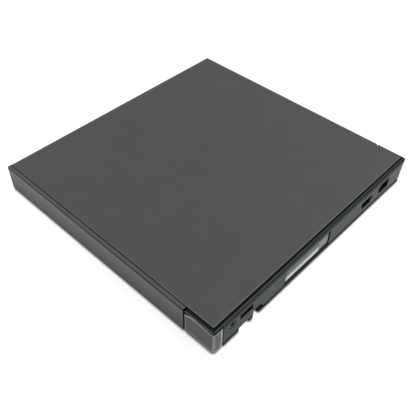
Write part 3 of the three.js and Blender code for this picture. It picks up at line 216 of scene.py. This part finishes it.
def grained(shade, colour, grain, mottle):
    """Base colour of moulded plastic: slow changes of tone under a fine speckle."""
    slow = shade.noise(14, 3)
    fine = shade.noise(grain, 3, 0.6)
    cloud = spread(shade, slow, colour, mottle)
    speck = spread(shade, fine, colour, mottle * 1.6)
    return shade.mix(0.5, cloud, speck), fine


def moulded(name, colour, rough, grain=0.35, depth=0.006, mottle=0.06, gloss=0.35,
            edge=None, edge_width=0.25, painted_light_and_tones=None, dull=None):
    """Moulded plastic: spark-eroded grain and uneven gloss.

    It may have painted highlights along its edges, places of another tone that are mostly painted light
    and shade, and places that are less polished.
    """
    shade = Shade(name)
    base, fine = grained(shade, colour, grain, mottle)
    if edge:
        base = shade.mix(shade.edges(edge_width), base, edge)
    if painted_light_and_tones:
        for mask, tone in painted_light_and_tones(shade):
            base = shade.mix(mask, base, tone)
    uneven = shade.span(shade.noise(9, 4), rough - 0.05, rough + 0.05)
    if dull:
        uneven = shade.math("ADD", uneven, shade.times(dull(shade), 0.5))
    shade.set(Base_Color=base, Roughness=uneven, Normal=shade.bump(fine, depth))
    shade.gloss(gloss)
    return shade.material


def plated(name, colour, rough, brush=(1, 1, 1), size=0.6, depth=0.002, metal=1.0, mottle=0.08,
           turn=0.0):
    """Plated or bare metal: fine brushing along one way, faint spangle, uneven gloss."""
    shade = Shade(name)
    lines = shade.noise(size, 4, 0.7, shade.stretched(*brush, turn))
    spangle = shade.cells(3.5)
    tone = shade.math("ADD", shade.times(lines, 0.6), shade.times(spangle, 0.4))
    base = shade.mix(tone, toned(colour, 1 - mottle), toned(colour, 1 + mottle * 0.6))
    shade.set(
        Base_Color=base, Roughness=shade.span(lines, rough - 0.07, rough + 0.08),
        Metallic=metal, Normal=shade.bump(lines, depth),
    )
    return shade.material


# Painted light and shade on the outer surfaces, and some tones of their own: each is a mask and a
# colour, later ones over earlier ones
# Near black, for painted shade in gaps, grooves, hollows and hidden ends, and for the wall's black foot
BLACK = linear(9, 10, 10)


def lid_tones(shade):
    """Painted shade on the faces in the gaps round the plate, and painted highlights along its edges
    and their bevels.
    """
    x, y, z = shade.axes()
    _, _, up = shade.facing()
    right_edge_highlight = shade.within(x, LID_RIGHT - 0.85, LID_RIGHT - 0.2, 0.15)
    front_edge_highlight = shade.times(
        shade.below(y, LID_FRONT + 0.45, 0.15), shade.span(x, 0.0, 1.0, 20.0, 66.0))
    back_edge_highlight = shade.above(y, BACK - 1.8, 1.2)
    left_edge_highlight = shade.times(shade.below(x, 1.8 - RIGHT, 1.2), 0.7)
    far_edge_highlight = shade.times(shade.larger(back_edge_highlight, left_edge_highlight), shade.above(z, TOP - 0.5, 0.3))
    bevel_highlight = shade.within(up, 0.3, 0.97, 0.02)
    gap_shade = shade.larger(shade.above(x, LID_RIGHT - 0.25, 0.1), shade.below(y, LID_FRONT + 0.15, 0.1))
    return (
        (far_edge_highlight, linear(100, 99, 95)),
        (right_edge_highlight, linear(99, 100, 100)),
        (front_edge_highlight, linear(117, 118, 118)),
        (shade.times(bevel_highlight, 0.4), linear(126, 127, 127)),
        (shade.times(gap_shade, shade.below(z, TOP - 0.22, 0.06)), BLACK),
        (shade.above(x, LID_RIGHT - 0.25, 0.06), BLACK),
    )


def bezel_tones(shade):
    """Painted shade in the groove under the top lip, on the end beside the button and in the gap under
    the lid's front; a painted highlight line below the groove, painted light that makes the face paler
    towards the top, a darker lip and a darker foot.
    """
    x, y, z = shade.axes()
    face = FRONT + 0.04
    groove = shade.times(
        shade.within(z, TOP - 1.7, TOP - 0.3), shade.above(y, face, 0.03),
        shade.below(y, FRONT + 1.4, 0.1))
    high = shade.times(shade.span(z, 0.0, 1.0, 5.0, 14.5), shade.below(y, face, 0.03))
    line = shade.times(
        shade.within(z, TOP - 2.4, TOP - 1.0, 0.5), shade.below(y, FRONT + 0.2, 0.1))
    lip = shade.times(shade.above(z, TOP - 0.4, 0.05), shade.below(y, FRONT + 0.25, 0.1))
    return (
        (high, linear(102, 102, 102)),
        (shade.times(line, 0.8), linear(104, 104, 103)),
        (shade.below(z, 2.6, 0.8), linear(50, 50, 50)),
        (lip, linear(52, 52, 52)),
        (groove, BLACK),
        (shade.above(x, BUTTON_LEFT - 1.0, 0.1), BLACK),
        (shade.above(y, LID_FRONT - 0.65, 0.1), linear(30, 30, 30)),
    )


def rim_tones(shade):
    """Black gloss with a painted reflection, a pale line along its right strip, and a smoky outer side;
    painted highlights run along its front and back edges, and painted shade along the top of the outer
    side.

    The line runs a little nearer the outer edge in front, and fades towards the back.
    """
    x, y, z = shade.axes()
    fade = -50.0, 10.0
    upper = shade.above(z, TOP - 0.3, 0.05)
    behind_front = shade.above(y, FRONT + 1.1)
    across = shade.math("SUBTRACT", x, shade.span(y, 0.25, 0.0, *fade))
    strip = shade.times(
        shade.within(across, RIGHT - 1.25, RIGHT - 0.6, 0.15), shade.above(z, TOP - 0.1, 0.05),
        behind_front)
    reflection_tone = shade.mix(shade.span(y, 0.0, 1.0, *fade), linear(76, 82, 80), linear(62, 67, 65))
    outer = shade.times(
        shade.above(z, TOP - 0.9, 0.5), shade.above(x, RIGHT - 0.2, 0.05), behind_front)
    return (
        (strip, reflection_tone),
        (shade.times(shade.below(y, FRONT + 0.55, 0.15), upper), linear(84, 90, 88)),
        (shade.times(shade.below(z, TOP - 0.4, 0.2), shade.above(x, RIGHT - 0.5)), linear(62, 66, 65)),
        (outer, linear(22, 25, 24)),
        (shade.times(shade.above(y, BACK - 0.7, 0.2), upper), linear(104, 104, 96)),
    )


def rim_dull(shade):
    """The outer side is less polished than the top."""
    x, _, z = shade.axes()
    return shade.larger(shade.above(x, RIGHT - 0.4, 0.2), shade.below(z, TOP - 0.3, 0.1))


def wall_tones(shade):
    """A painted highlight line below a darker top, painted light that makes the end paler, a painted
    highlight on the rounded corner, and a black foot.

    The faces inside the slot and the sockets carry painted shadow.
    """
    x, y, z = shade.axes()
    line_top = 12.9
    line = shade.within(z, line_top - 1.2, line_top, 0.4)
    corner = shade.times(shade.within(y, BACK - 2.5, BACK - 0.6, 0.4), shade.above(z, 3.6, 1.0))
    inside = shade.times(shade.below(x, RIGHT - 0.25, 0.3), shade.below(y, BACK - 0.4, 0.2))
    return (
        (shade.above(z, line_top, 0.5), linear(49, 53, 52)),
        (shade.times(line, 0.8), linear(76, 82, 80)),
        (shade.span(y, 0.0, 0.35, 60.0, 68.0), linear(86, 89, 87)),
        (corner, linear(132, 132, 126)),
        (shade.below(z, 3.45, 0.3), BLACK),
        (inside, BLACK),
    )


def jack_tones(shade):
    """Painted shade in the bore; only the barrel's outer face catches light."""
    x, _, _ = shade.axes()
    return ((shade.below(x, RIGHT - 0.28, 0.06), BLACK),)


def button_tones(shade):
    """Painted highlights where the clear edges of the smoked button catch light, and painted shade
    along its foot and on its left end.
    """
    x, y, z = shade.axes()
    aside, ahead, _ = shade.facing()
    rising = shade.slanted(x, BUTTON_LEFT, 13.45, 0.4615)
    falling = shade.slanted(x, 60.9, 15.25, -0.0458)
    top = shade.math("SUBTRACT", z, shade.math("MINIMUM", rising, falling))
    foot = shade.slanted(x, 65.0, z, 0.08)
    outline_highlight = shade.times(shade.above(top, -0.9, 0.35), shade.span(x, 1.0, 0.45, 62.0, 72.0))
    bend = shade.above(shade.times(aside, ahead, -2.0), 0.4, 0.4)
    back_edge_highlight = shade.times(shade.above(y, FRONT + 4.2, 0.4), shade.above(aside, 0.5))
    left_line_highlight = shade.times(
        shade.within(x, BUTTON_LEFT + 0.15, BUTTON_LEFT + 0.75, 0.2), shade.above(foot, 2.3, 0.2))
    return (
        (outline_highlight, linear(175, 179, 179)),
        (shade.within(foot, 2.25, 3.15, 0.3), linear(148, 151, 151)),
        (bend, linear(133, 136, 136)),
        (back_edge_highlight, linear(145, 148, 148)),
        (shade.below(foot, 2.2, 0.3), linear(12, 12, 12)),
        (left_line_highlight, linear(116, 117, 117)),
        (shade.below(aside, -0.5), BLACK),
    )


# Other materials
def board_traces(shade):
    """Copper lines under the solder mask, along and across the board."""
    lines = shade.cells(2.4, "F2", shade.stretched(1, 0.3, 1))
    cross = shade.cells(3.1, "F1", shade.stretched(0.3, 1, 1))
    trace = shade.times(shade.within(lines, 0.62, 0.74, 0.03), 0.8)
    other = shade.times(shade.within(cross, 0.3, 0.38, 0.03), 0.7)
    return shade.larger(trace, other)


def circuit(name, colour):
    """Circuit board: solder mask over traces, with bright pads."""
    shade = Shade(name)
    base, fine = grained(shade, colour, 0.5, 0.08)
    trace = board_traces(shade)
    base = shade.mix(trace, base, toned(colour, 1.9))
    pads = shade.below(shade.cells(4.2), 0.1, 0.02)
    base = shade.mix(pads, base, linear(176, 170, 150))
    shade.set(Base_Color=base, Roughness=shade.span(fine, 0.3, 0.42), Normal=shade.bump(trace, 0.03))
    shade.gloss(0.5)
    return shade.material


def ribbon(name, colour):
    """Film over flat copper lines that run along the cable."""
    shade = Shade(name)
    x, _, _ = shade.axes()
    wave = shade.math("PINGPONG", x, 0.25)
    line = shade.within(wave, 0.07, 0.26, 0.03)
    base, fine = grained(shade, colour, 0.6, 0.06)
    base = shade.mix(line, base, toned(colour, 0.45))
    shade.set(Base_Color=base, Roughness=shade.span(fine, 0.22, 0.34), Normal=shade.bump(line, 0.02))
    shade.gloss(0.5)
    return shade.material


def blank_label(name):
    """A bare rating label: a pale field below, a grey field above and a plain end panel."""
    shade = Shade(name)
    _, y, z = shade.axes()
    field_top, panel_start = 7.2, 75.4
    fibre = shade.noise(0.3, 4, 0.7)
    pale = shade.mix(fibre, linear(162, 167, 160), linear(184, 189, 181))
    pale = shade.mix(shade.below(z, 5.6, 0.6), pale, linear(206, 211, 203))
    grey = shade.mix(fibre, linear(70, 74, 72), linear(86, 90, 87))
    ruled = shade.within(shade.math("PINGPONG", z, 0.55), 0.4, 0.6, 0.05)
    grey = shade.mix(shade.times(ruled, 0.2), grey, linear(130, 133, 128))
    panel = shade.mix(fibre, linear(106, 110, 107), linear(122, 126, 122))
    panel = shade.mix(shade.above(z, 9.4, 1.4), panel, linear(84, 87, 85))
    field = shade.mix(shade.above(z, field_top, 0.5), pale, grey)
    from_front = shade.math("SUBTRACT", y, FRONT)
    whole = shade.mix(shade.above(from_front, panel_start, 0.2), field, panel)
    shade.set(Base_Color=whole, Roughness=shade.span(fibre, 0.42, 0.6), Normal=shade.bump(fibre, 0.004))
    shade.gloss(0.35)
    return shade.material


def rubbery(name, colour):
    """Dull rubber with a fine grain and slow wear."""
    shade = Shade(name)
    fine = shade.noise(0.5, 4, 0.7)
    worn = shade.noise(5, 3)
    base = shade.mix(worn, toned(colour, 0.85), toned(colour, 1.3))
    shade.set(Base_Color=base, Roughness=shade.span(fine, 0.72, 0.95), Normal=shade.bump(fine, 0.03))
    shade.gloss(0.2)
    return shade.material


def lens_glass(name):
    """Coated glass of the lens in its clear holder, with the coating's blue cast."""
    shade = Shade(name)
    cast = shade.mix(shade.noise(2, 2), linear(104, 128, 176), linear(132, 150, 200))
    dust = shade.noise(0.25, 3, 0.8)
    shade.set(Base_Color=cast, Roughness=shade.span(dust, 0.04, 0.12))
    shade.shader.inputs["Transmission Weight"].default_value = 0.35
    shade.gloss(0.6, 1.0)
    return shade.material


def plain_name(material):
    """The name without the number that a second material of that name gets."""
    return material.name.split(".")[0]


looks = {plain_name(made): made for made in (
    moulded("lid_plastic", linear(80, 80, 80), 0.62, grain=1.0, depth=0.012, mottle=0.15,
            gloss=0.08, painted_light_and_tones=lid_tones),
    moulded("bezel_plastic", linear(84, 84, 84), 0.5, grain=0.5, gloss=0.08, painted_light_and_tones=bezel_tones),
    moulded("housing_plastic", linear(66, 70, 69), 0.5, grain=0.4, gloss=0.08, painted_light_and_tones=wall_tones),
    moulded("gloss_black", linear(20, 25, 24), 0.18, grain=0.8, depth=0.0008, gloss=0.06,
            painted_light_and_tones=rim_tones, dull=rim_dull),
    moulded("smoked_plastic", linear(79, 80, 80), 0.28, grain=0.8, depth=0.001, gloss=0.08,
            painted_light_and_tones=button_tones),
    moulded("black_plastic", linear(24, 26, 26), 0.62, gloss=0.06),
    # The tray's and the sockets' plastic get painted highlights along their edges
    moulded("tray_plastic", linear(36, 36, 37), 0.55, grain=0.6, depth=0.012,
            edge=linear(58, 58, 59)),
    rubbery("rubber", linear(30, 30, 30)),
    plated("sheet_steel", linear(190, 192, 194), 0.34, brush=(1, 12, 1)),
    plated("rail_steel", linear(140, 142, 145), 0.36, brush=(8, 1, 8), turn=math.radians(45)),
    plated("cast_zinc", linear(150, 153, 156), 0.5, size=0.9, depth=0.02, mottle=0.12),
    plated("screw_zinc", linear(165, 167, 168), 0.3, size=0.3),
    circuit("board_green", linear(26, 84, 52)),
    moulded("socket_black", linear(26, 27, 28), 0.42, edge=linear(60, 64, 64), edge_width=0.2),
    ribbon("flex_amber", linear(176, 110, 44)),
    plated("coil_copper", linear(176, 100, 60), 0.35, brush=(1, 1, 14), size=0.5, depth=0.02),
    lens_glass("lens_clear"),
    blank_label("label_paper"),
    moulded("white_plastic", linear(214, 214, 208), 0.45),
)}
# Port shells in steel made near black, as painted shade for the depth of the sockets
shaded_socket_steel = plated("shaded_socket_steel", linear(20, 21, 22), 0.6, size=0.4, metal=0.2)
jack_plastic = moulded("jack_plastic", linear(66, 70, 69), 0.45, gloss=0.1, painted_light_and_tones=jack_tones)
own_looks = {
    "small_port_shell": shaded_socket_steel, "large_port_shell": shaded_socket_steel, "dc_jack": jack_plastic,
}

# Materials on the CAD nodes
for name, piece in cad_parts.items():
    for place in piece.material_slots:
        place.material = own_looks.get(name) or looks[plain_name(place.material)]


# Fine pieces that ride on the moving parts, in millimetres
AXIS = Vector((-8.7, -12.0, 2.0))
TURN = math.sqrt(0.5)
SEATED = 6.19  # A hair below the sledge's top, so that what stands on it touches it


def on_traverse(x, y, z):
    """A place in the mechanism's frame, which is turned 45 degrees about the disc's axis."""
    return AXIS + Vector(((x + y) * TURN, (y - x) * TURN, z))


def around(sides):
    """Angles of equal steps round a circle."""
    return (math.tau * index / sides for index in range(sides))


def built(name, shape, look, body, smooth=True):
    points, faces = shape
    mesh = bpy.data.meshes.new(name)
    mesh.from_pydata([tuple(p * MM) for p in points], [], faces)
    mesh.polygons.foreach_set("use_smooth", [smooth] * len(mesh.polygons))
    mesh.update()
    part = bpy.data.objects.new(name, mesh)
    bpy.context.scene.collection.objects.link(part)
    mesh.materials.append(looks[look])
    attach(part, body)
    return part


def rings_to_faces(rings, sides, closed=False):
    """Quads between rings of equally many points; a closed run joins its last ring to its first."""
    runs = rings if closed else rings - 1
    return [
        (a * sides + s, a * sides + (s + 1) % sides, b * sides + (s + 1) % sides, b * sides + s)
        for a in range(runs) for b in ((a + 1) % rings,) for s in range(sides)
    ]


def capped(rings, sides):
    """Quads between rings, and a face over the first ring and the last."""
    last = (rings - 1) * sides
    ends = [tuple(reversed(range(sides))), tuple(range(last, last + sides))]
    return rings_to_faces(rings, sides) + ends


def joined(shapes):
    """Points and faces of several shapes as one."""
    points, faces = [], []
    for more, rings in shapes:
        start = len(points)
        points += more
        faces += [tuple(start + index for index in face) for face in rings]
    return points, faces


def tube(path, radius):
    """Points and faces of a six-sided tube along a path."""
    sides = 6
    points = []
    for index, place in enumerate(path):
        ahead = (path[min(index + 1, len(path) - 1)] - path[max(index - 1, 0)]).normalized()
        level = Vector((0.0, 0.0, 1.0)) if abs(ahead.z) < 0.9 else Vector((0.0, 1.0, 0.0))
        aside = ahead.cross(level).normalized()
        across = ahead.cross(aside)
        for angle in around(sides):
            points.append(place + (aside * math.cos(angle) + across * math.sin(angle)) * radius)
    return points, capped(len(path), sides)


def block(low, high):
    """Points and faces of a small box with chamfered top edges, from its low and high corners."""
    low, high = Vector(low), Vector(high)
    cut = min(0.12, (high.z - low.z) * 0.45, (high.x - low.x) * 0.3, (high.y - low.y) * 0.3)
    points = []
    for z, inset in ((low.z, 0.0), (high.z - cut, 0.0), (high.z, cut)):
        left, right = low.x + inset, high.x - inset
        near, far = low.y + inset, high.y - inset
        for x, y in ((left, near), (right, near), (right, far), (left, far)):
            points.append(Vector((x, y, z)))
    return points, capped(3, 4)


def blocks(boxes):
    """Points and faces of many small boxes, each given by its corners."""
    return joined(block(*corners) for corners in boxes)


def blocks_on_sledge(boxes):
    points, faces = blocks(boxes)
    return [on_traverse(*p) for p in points], faces


def disc_ring(name, look, profile, sides, rib=0.0, smooth=True):
    """A ring about the disc's axis; every other section of its top is lower by the rib."""
    rib_base = 8.9
    points = []
    for index, angle in enumerate(around(sides)):
        lower = rib if index % 2 else 0.0
        for radius, z in profile:
            height = z - lower if z > rib_base else z
            points.append(AXIS + Vector((radius * math.cos(angle), radius * math.sin(angle), height)))
    shape = points, rings_to_faces(sides, len(profile), closed=True)
    built(name, shape, look, "turntable", smooth)


def turntable_rings():
    """Rubber ring that grips the disc, with fine radial ribs, and the hub's bright centring ring."""
    grip = ((8.2, 8.79), (8.2, 8.98), (8.5, 9.05), (11.6, 9.05), (12.1, 8.98), (12.1, 8.79))
    disc_ring("turntable_ring", "rubber", grip, 144, 0.05, False)
    hub = ((4.0, 10.79), (4.0, 10.86), (4.15, 10.9), (5.85, 10.9), (6.0, 10.86), (6.0, 10.79))
    disc_ring("hub_ring", "screw_zinc", hub, 96)


def screw_thread():
    """Rolled thread that carries the sledge, three millimetres a turn."""
    pitch, start, end, steps = 3.0, -1.0, -62.0, 20
    screw_x, screw_z = -14.6, 3.4
    profile = ((-0.55, 0.86), (-0.15, 1.03), (0.15, 1.03), (0.55, 0.86))
    points = []
    count = int((start - end) / pitch * steps)
    for index in range(count + 1):
        angle = math.tau * index / steps
        y = start - pitch * index / steps
        for along, radius in profile:
            points.append(on_traverse(
                screw_x + radius * math.cos(angle), y + along, screw_z + radius * math.sin(angle)))
    built("lead_screw_thread", (points, capped(count + 1, len(profile))), "rail_steel", "lead_screw")


def coil_winding():
    """Enamelled wire wound on the latch's solenoid."""
    lay = random.Random(11)
    wire, turns, round_off = 0.17, 27, 0.7
    low, high = Vector((27.1, 0.0, 4.25)), Vector((35.5, 0.0, 7.55))
    start, step = -64.7, 9.6 / turns
    corners = ((high.x, high.z), (low.x, high.z), (low.x, low.z), (high.x, low.z))
    path = []
    for turn in range(turns):
        reach = round_off + (wire + lay.uniform(-0.02, 0.03))
        for corner, (x, z) in enumerate(corners):
            middle_x = x - round_off if x == high.x else x + round_off
            middle_z = z - round_off if z == high.z else z + round_off
            for part in range(4):
                quarter = corner + part / 3
                angle = math.pi / 2 * quarter
                path.append(Vector((
                    middle_x + reach * math.cos(angle), start + step * (turn + quarter / 4),
                    middle_z + reach * math.sin(angle),
                )))
    built("solenoid_winding", tube(path, wire), "coil_copper", "tray")


def port_contacts():
    """Spring contacts side by side on each socket's tongue, each with a raised spot."""
    for name, start, end, top, count, width in (
            ("small_port_contacts", 37.06, 43.14, 8.55, 5, 0.5),
            ("large_port_contacts", 53.5, 59.7, 9.25, 4, 0.8)):
        pitch = (end - start) / (count + 0.4)
        boxes = []
        for index in range(count):
            y = start + pitch * (index + 0.7)
            near, far = y - width / 2, y + width / 2
            for from_x, to_x, rise in ((64.2, 69.4, 0.06), (68.0, 69.2, 0.12)):
                boxes.append(((from_x, near, top - 0.01), (to_x, far, top + rise)))
        built(name, blocks(boxes), "screw_zinc", "housing", False)


def lens_cover():
    """Thin plate with a round hole over the lens, chamfered along its top edges."""
    sides = 48
    middle_y, half_x, half_y, hole = -24.0, 3.3, 2.4, 1.95
    low, high, cut = 6.89, 7.02, 0.05
    outer = ((0.0, low), (0.0, high - cut), (cut, high))
    points = []
    for inset, z in outer:
        for angle in around(sides):
            across, along = math.cos(angle), math.sin(angle)
            to_side = (half_x - inset) / max(abs(across), 1e-9)
            to_end = (half_y - inset) / max(abs(along), 1e-9)
            reach = min(to_side, to_end)
            points.append(on_traverse(reach * across, middle_y + reach * along, z))
    for inset, z in reversed(outer):
        for angle in around(sides):
            reach = hole + inset
            points.append(on_traverse(reach * math.cos(angle), middle_y + reach * math.sin(angle), z))
    shape = points, rings_to_faces(2 * len(outer), sides, closed=True)
    built("lens_cover", shape, "black_plastic", "lens", False)


def lens_wires():
    """Two pairs of fine wires that carry the lens holder from the post behind it."""
    run = ((2.9, -26.3, 7.05), (2.9, -22.2, 7.05), (2.87, -21.6, 7.24), (2.8, -18.6, 7.24))
    wires = [
        tube([on_traverse(side * (x + out), y, z) for x, y, z in run], 0.05)
        for side in (-1, 1) for out in (0.0, 0.16)
    ]
    built("lens_wires", joined(wires), "coil_copper", "lens")


def pickup_parts():
    """On the sledge: the wires' post with its two arms, and a small chip."""
    boxes = (
        ((-3.9, -18.7, SEATED), (3.9, -17.3, 7.4)),
        ((4.9, -19.4, SEATED), (7.9, -16.6, 6.75)),
        ((-3.9, -21.2, SEATED), (-3.6, -18.7, 7.0)),
        ((3.6, -21.2, SEATED), (3.9, -18.7, 7.0)),
    )
    built("pickup_parts", blocks_on_sledge(boxes), "black_plastic", "pickup", False)


def pickup_pads():
    """The chip's legs along two sides, and the solder pads at the cable's end."""
    leg_pitch, pad_pitch = 0.65, 0.8
    boxes = [
        ((5.15 + leg_pitch * n, y, SEATED), (5.4 + leg_pitch * n, y + 0.5, 6.4))
        for n in range(4) for y in (-19.85, -16.65)
    ]
    boxes += [
        ((-3.05 + pad_pitch * n, -28.0, 6.27), (-2.65 + pad_pitch * n, -27.2, 6.36))
        for n in range(8)
    ]
    built("pickup_pads", blocks_on_sledge(boxes), "screw_zinc", "pickup", False)


def pickup_cable():
    """Flat cable that lies on the sledge, bends over its end and hangs down."""
    half_width, half_thickness = 3.4, 0.05
    bend_y, bend_z, bend_radius, steps = -29.32, 6.01, 0.24, 8
    bend = [
        (bend_y - bend_radius * math.sin(angle), bend_z + bend_radius * math.cos(angle))
        for angle in (math.pi / 2 * n / steps for n in range(steps + 1))
    ]
    line = [(-26.9, bend_z + bend_radius)] + bend + [(bend_y - bend_radius, 2.3)]
    points = []
    for index, (y, z) in enumerate(line):
        before, after = line[max(index - 1, 0)], line[min(index + 1, len(line) - 1)]
        run, rise = after[0] - before[0], after[1] - before[1]
        length = math.hypot(run, rise)
        out_y, out_z = rise / length * half_thickness, -run / length * half_thickness
        for side, sign in ((-1, -1), (1, -1), (1, 1), (-1, 1)):
            points.append(on_traverse(side * half_width, y + sign * out_y, z + sign * out_z))
    built("pickup_cable", (points, capped(len(line), 4)), "flex_amber", "pickup", False)


def round_heads(name, places, profile, hexagon=None):
    """Small turned heads on the sledge; the radius that is named hexagon is a six-sided socket."""
    sides, sixth = 24, math.pi / 3
    heads = []
    for x, y in places:
        points = []
        for radius, rise in profile:
            for angle in around(sides):
                reach = radius
                if radius == hexagon:
                    reach = radius / max(math.cos((angle + sixth / 2) % sixth - sixth / 2), 0.5)
                points.append(on_traverse(
                    x + reach * math.cos(angle), y + reach * math.sin(angle), SEATED + rise))
        heads.append((points, capped(len(profile), sides)))
    built(name, joined(heads), "screw_zinc", "pickup")


def pickup_heads():
    """Two screws with hexagon sockets, and a trimmer with a round hollow."""
    screw = ((1.15, 0.0), (1.15, 0.28), (0.95, 0.42), (0.52, 0.42), (0.5, 0.2), (0.1, 0.2))
    round_heads("pickup_screws", ((-6.6, -27.4), (6.6, -27.4)), screw, hexagon=0.5)
    trimmer = ((1.5, 0.0), (1.5, 0.35), (1.35, 0.5), (0.75, 0.5), (0.7, 0.4), (0.1, 0.4))
    round_heads("pickup_trimmer", ((-6.4, -18.0),), trimmer)


turntable_rings()
screw_thread()
coil_winding()
port_contacts()
lens_cover()
lens_wires()
pickup_parts()
pickup_pads()
pickup_cable()
pickup_heads()


# Floor and backdrop
def stage_floor():
    """A pale floor that looks white, with a narrow shadow under the case."""
    half_size, drop = 3.0, 0.02
    shadow_width, shadow_fall = 1.3, 3.4
    glow, camera_glow = 0.25, 0.34
    mesh = bpy.data.meshes.new("floor")
    corners = [
        (x * half_size, y * half_size, -drop * MM) for x, y in ((-1, -1), (1, -1), (1, 1), (-1, 1))
    ]
    mesh.from_pydata(corners, [], [(0, 1, 2, 3)])
    floor = bpy.data.objects.new("floor", mesh)
    bpy.context.scene.collection.objects.link(floor)
    shade = Shade("floor")
    tree = shade.tree
    tree.nodes.remove(shade.shader)
    path = shade.node("ShaderNodeLightPath").outputs
    seen = shade.larger(path["Is Camera Ray"], path["Is Glossy Ray"])
    seen = shade.larger(seen, path["Is Transmission Ray"])
    hidden = shade.node("ShaderNodeAmbientOcclusion", samples=12)
    hidden.inputs["Distance"].default_value = shadow_width * MM
    lit = shade.math("POWER", hidden.outputs["AO"], shadow_fall)
    cloud = shade.span(shade.noise(400, 2), 0.74, 0.76)
    diffuse = shade.feed(shade.node("ShaderNodeBsdfDiffuse"), {"Color": shade.times(cloud, lit)})
    straight = shade.times(path["Is Camera Ray"], camera_glow)
    strength = shade.times(shade.math("ADD", shade.times(seen, glow), straight), lit)
    emission = shade.feed(shade.node("ShaderNodeEmission"), {"Strength": strength})
    both = shade.node("ShaderNodeAddShader")
    shade.join(diffuse.outputs[0], both.inputs[0])
    shade.join(emission.outputs[0], both.inputs[1])
    shade.join(both.outputs[0], tree.nodes["Material Output"].inputs["Surface"])
    mesh.materials.append(shade.material)


def light_world(level_lit):
    """White where it is seen or mirrored, and at the given level where it lights the object."""
    world = bpy.data.worlds.new("studio")
    bpy.context.scene.world = world
    world.use_nodes = True
    tree = world.node_tree
    ground = tree.nodes["Background"]
    path = tree.nodes.new("ShaderNodeLightPath").outputs
    seen = path["Is Camera Ray"]
    for other in ("Is Glossy Ray", "Is Transmission Ray"):
        either = tree.nodes.new("ShaderNodeMath")
        either.operation = "MAXIMUM"
        tree.links.new(seen, either.inputs[0])
        tree.links.new(path[other], either.inputs[1])
        seen = either.outputs[0]
    level = tree.nodes.new("ShaderNodeMapRange")
    tree.links.new(seen, level.inputs["Value"])
    level.inputs["To Min"].default_value = level_lit
    level.inputs["To Max"].default_value = 1.0
    ground.inputs["Color"].default_value = (1, 1, 1, 1)
    tree.links.new(level.outputs[0], ground.inputs["Strength"])


def lamp(name, place, aim, size, power):
    """A rectangular lamp. Its place, aim and size are in metres, and its power in watts."""
    data = bpy.data.lights.new(name, "AREA")
    data.shape = "RECTANGLE"
    data.size, data.size_y = size
    data.energy = power
    light = bpy.data.objects.new(name, data)
    light.location = place
    light.rotation_euler = (Vector(aim) - Vector(place)).to_track_quat("-Z", "Y").to_euler()
    bpy.context.scene.collection.objects.link(light)


stage_floor()
light_world(0.6)
lamp("key", place=(-0.3, -0.34, 0.12), aim=(-0.06, -0.07, 0), size=(0.25, 0.16), power=0.85)
lamp("fill", place=(0.5, 0.36, 0.26), aim=(0.06, 0.03, 0), size=(0.3, 0.3), power=2.4)
lamp("top", place=(0.42, 0.4, 0.75), aim=(0.02, 0.02, 0), size=(0.6, 0.6), power=1.7)
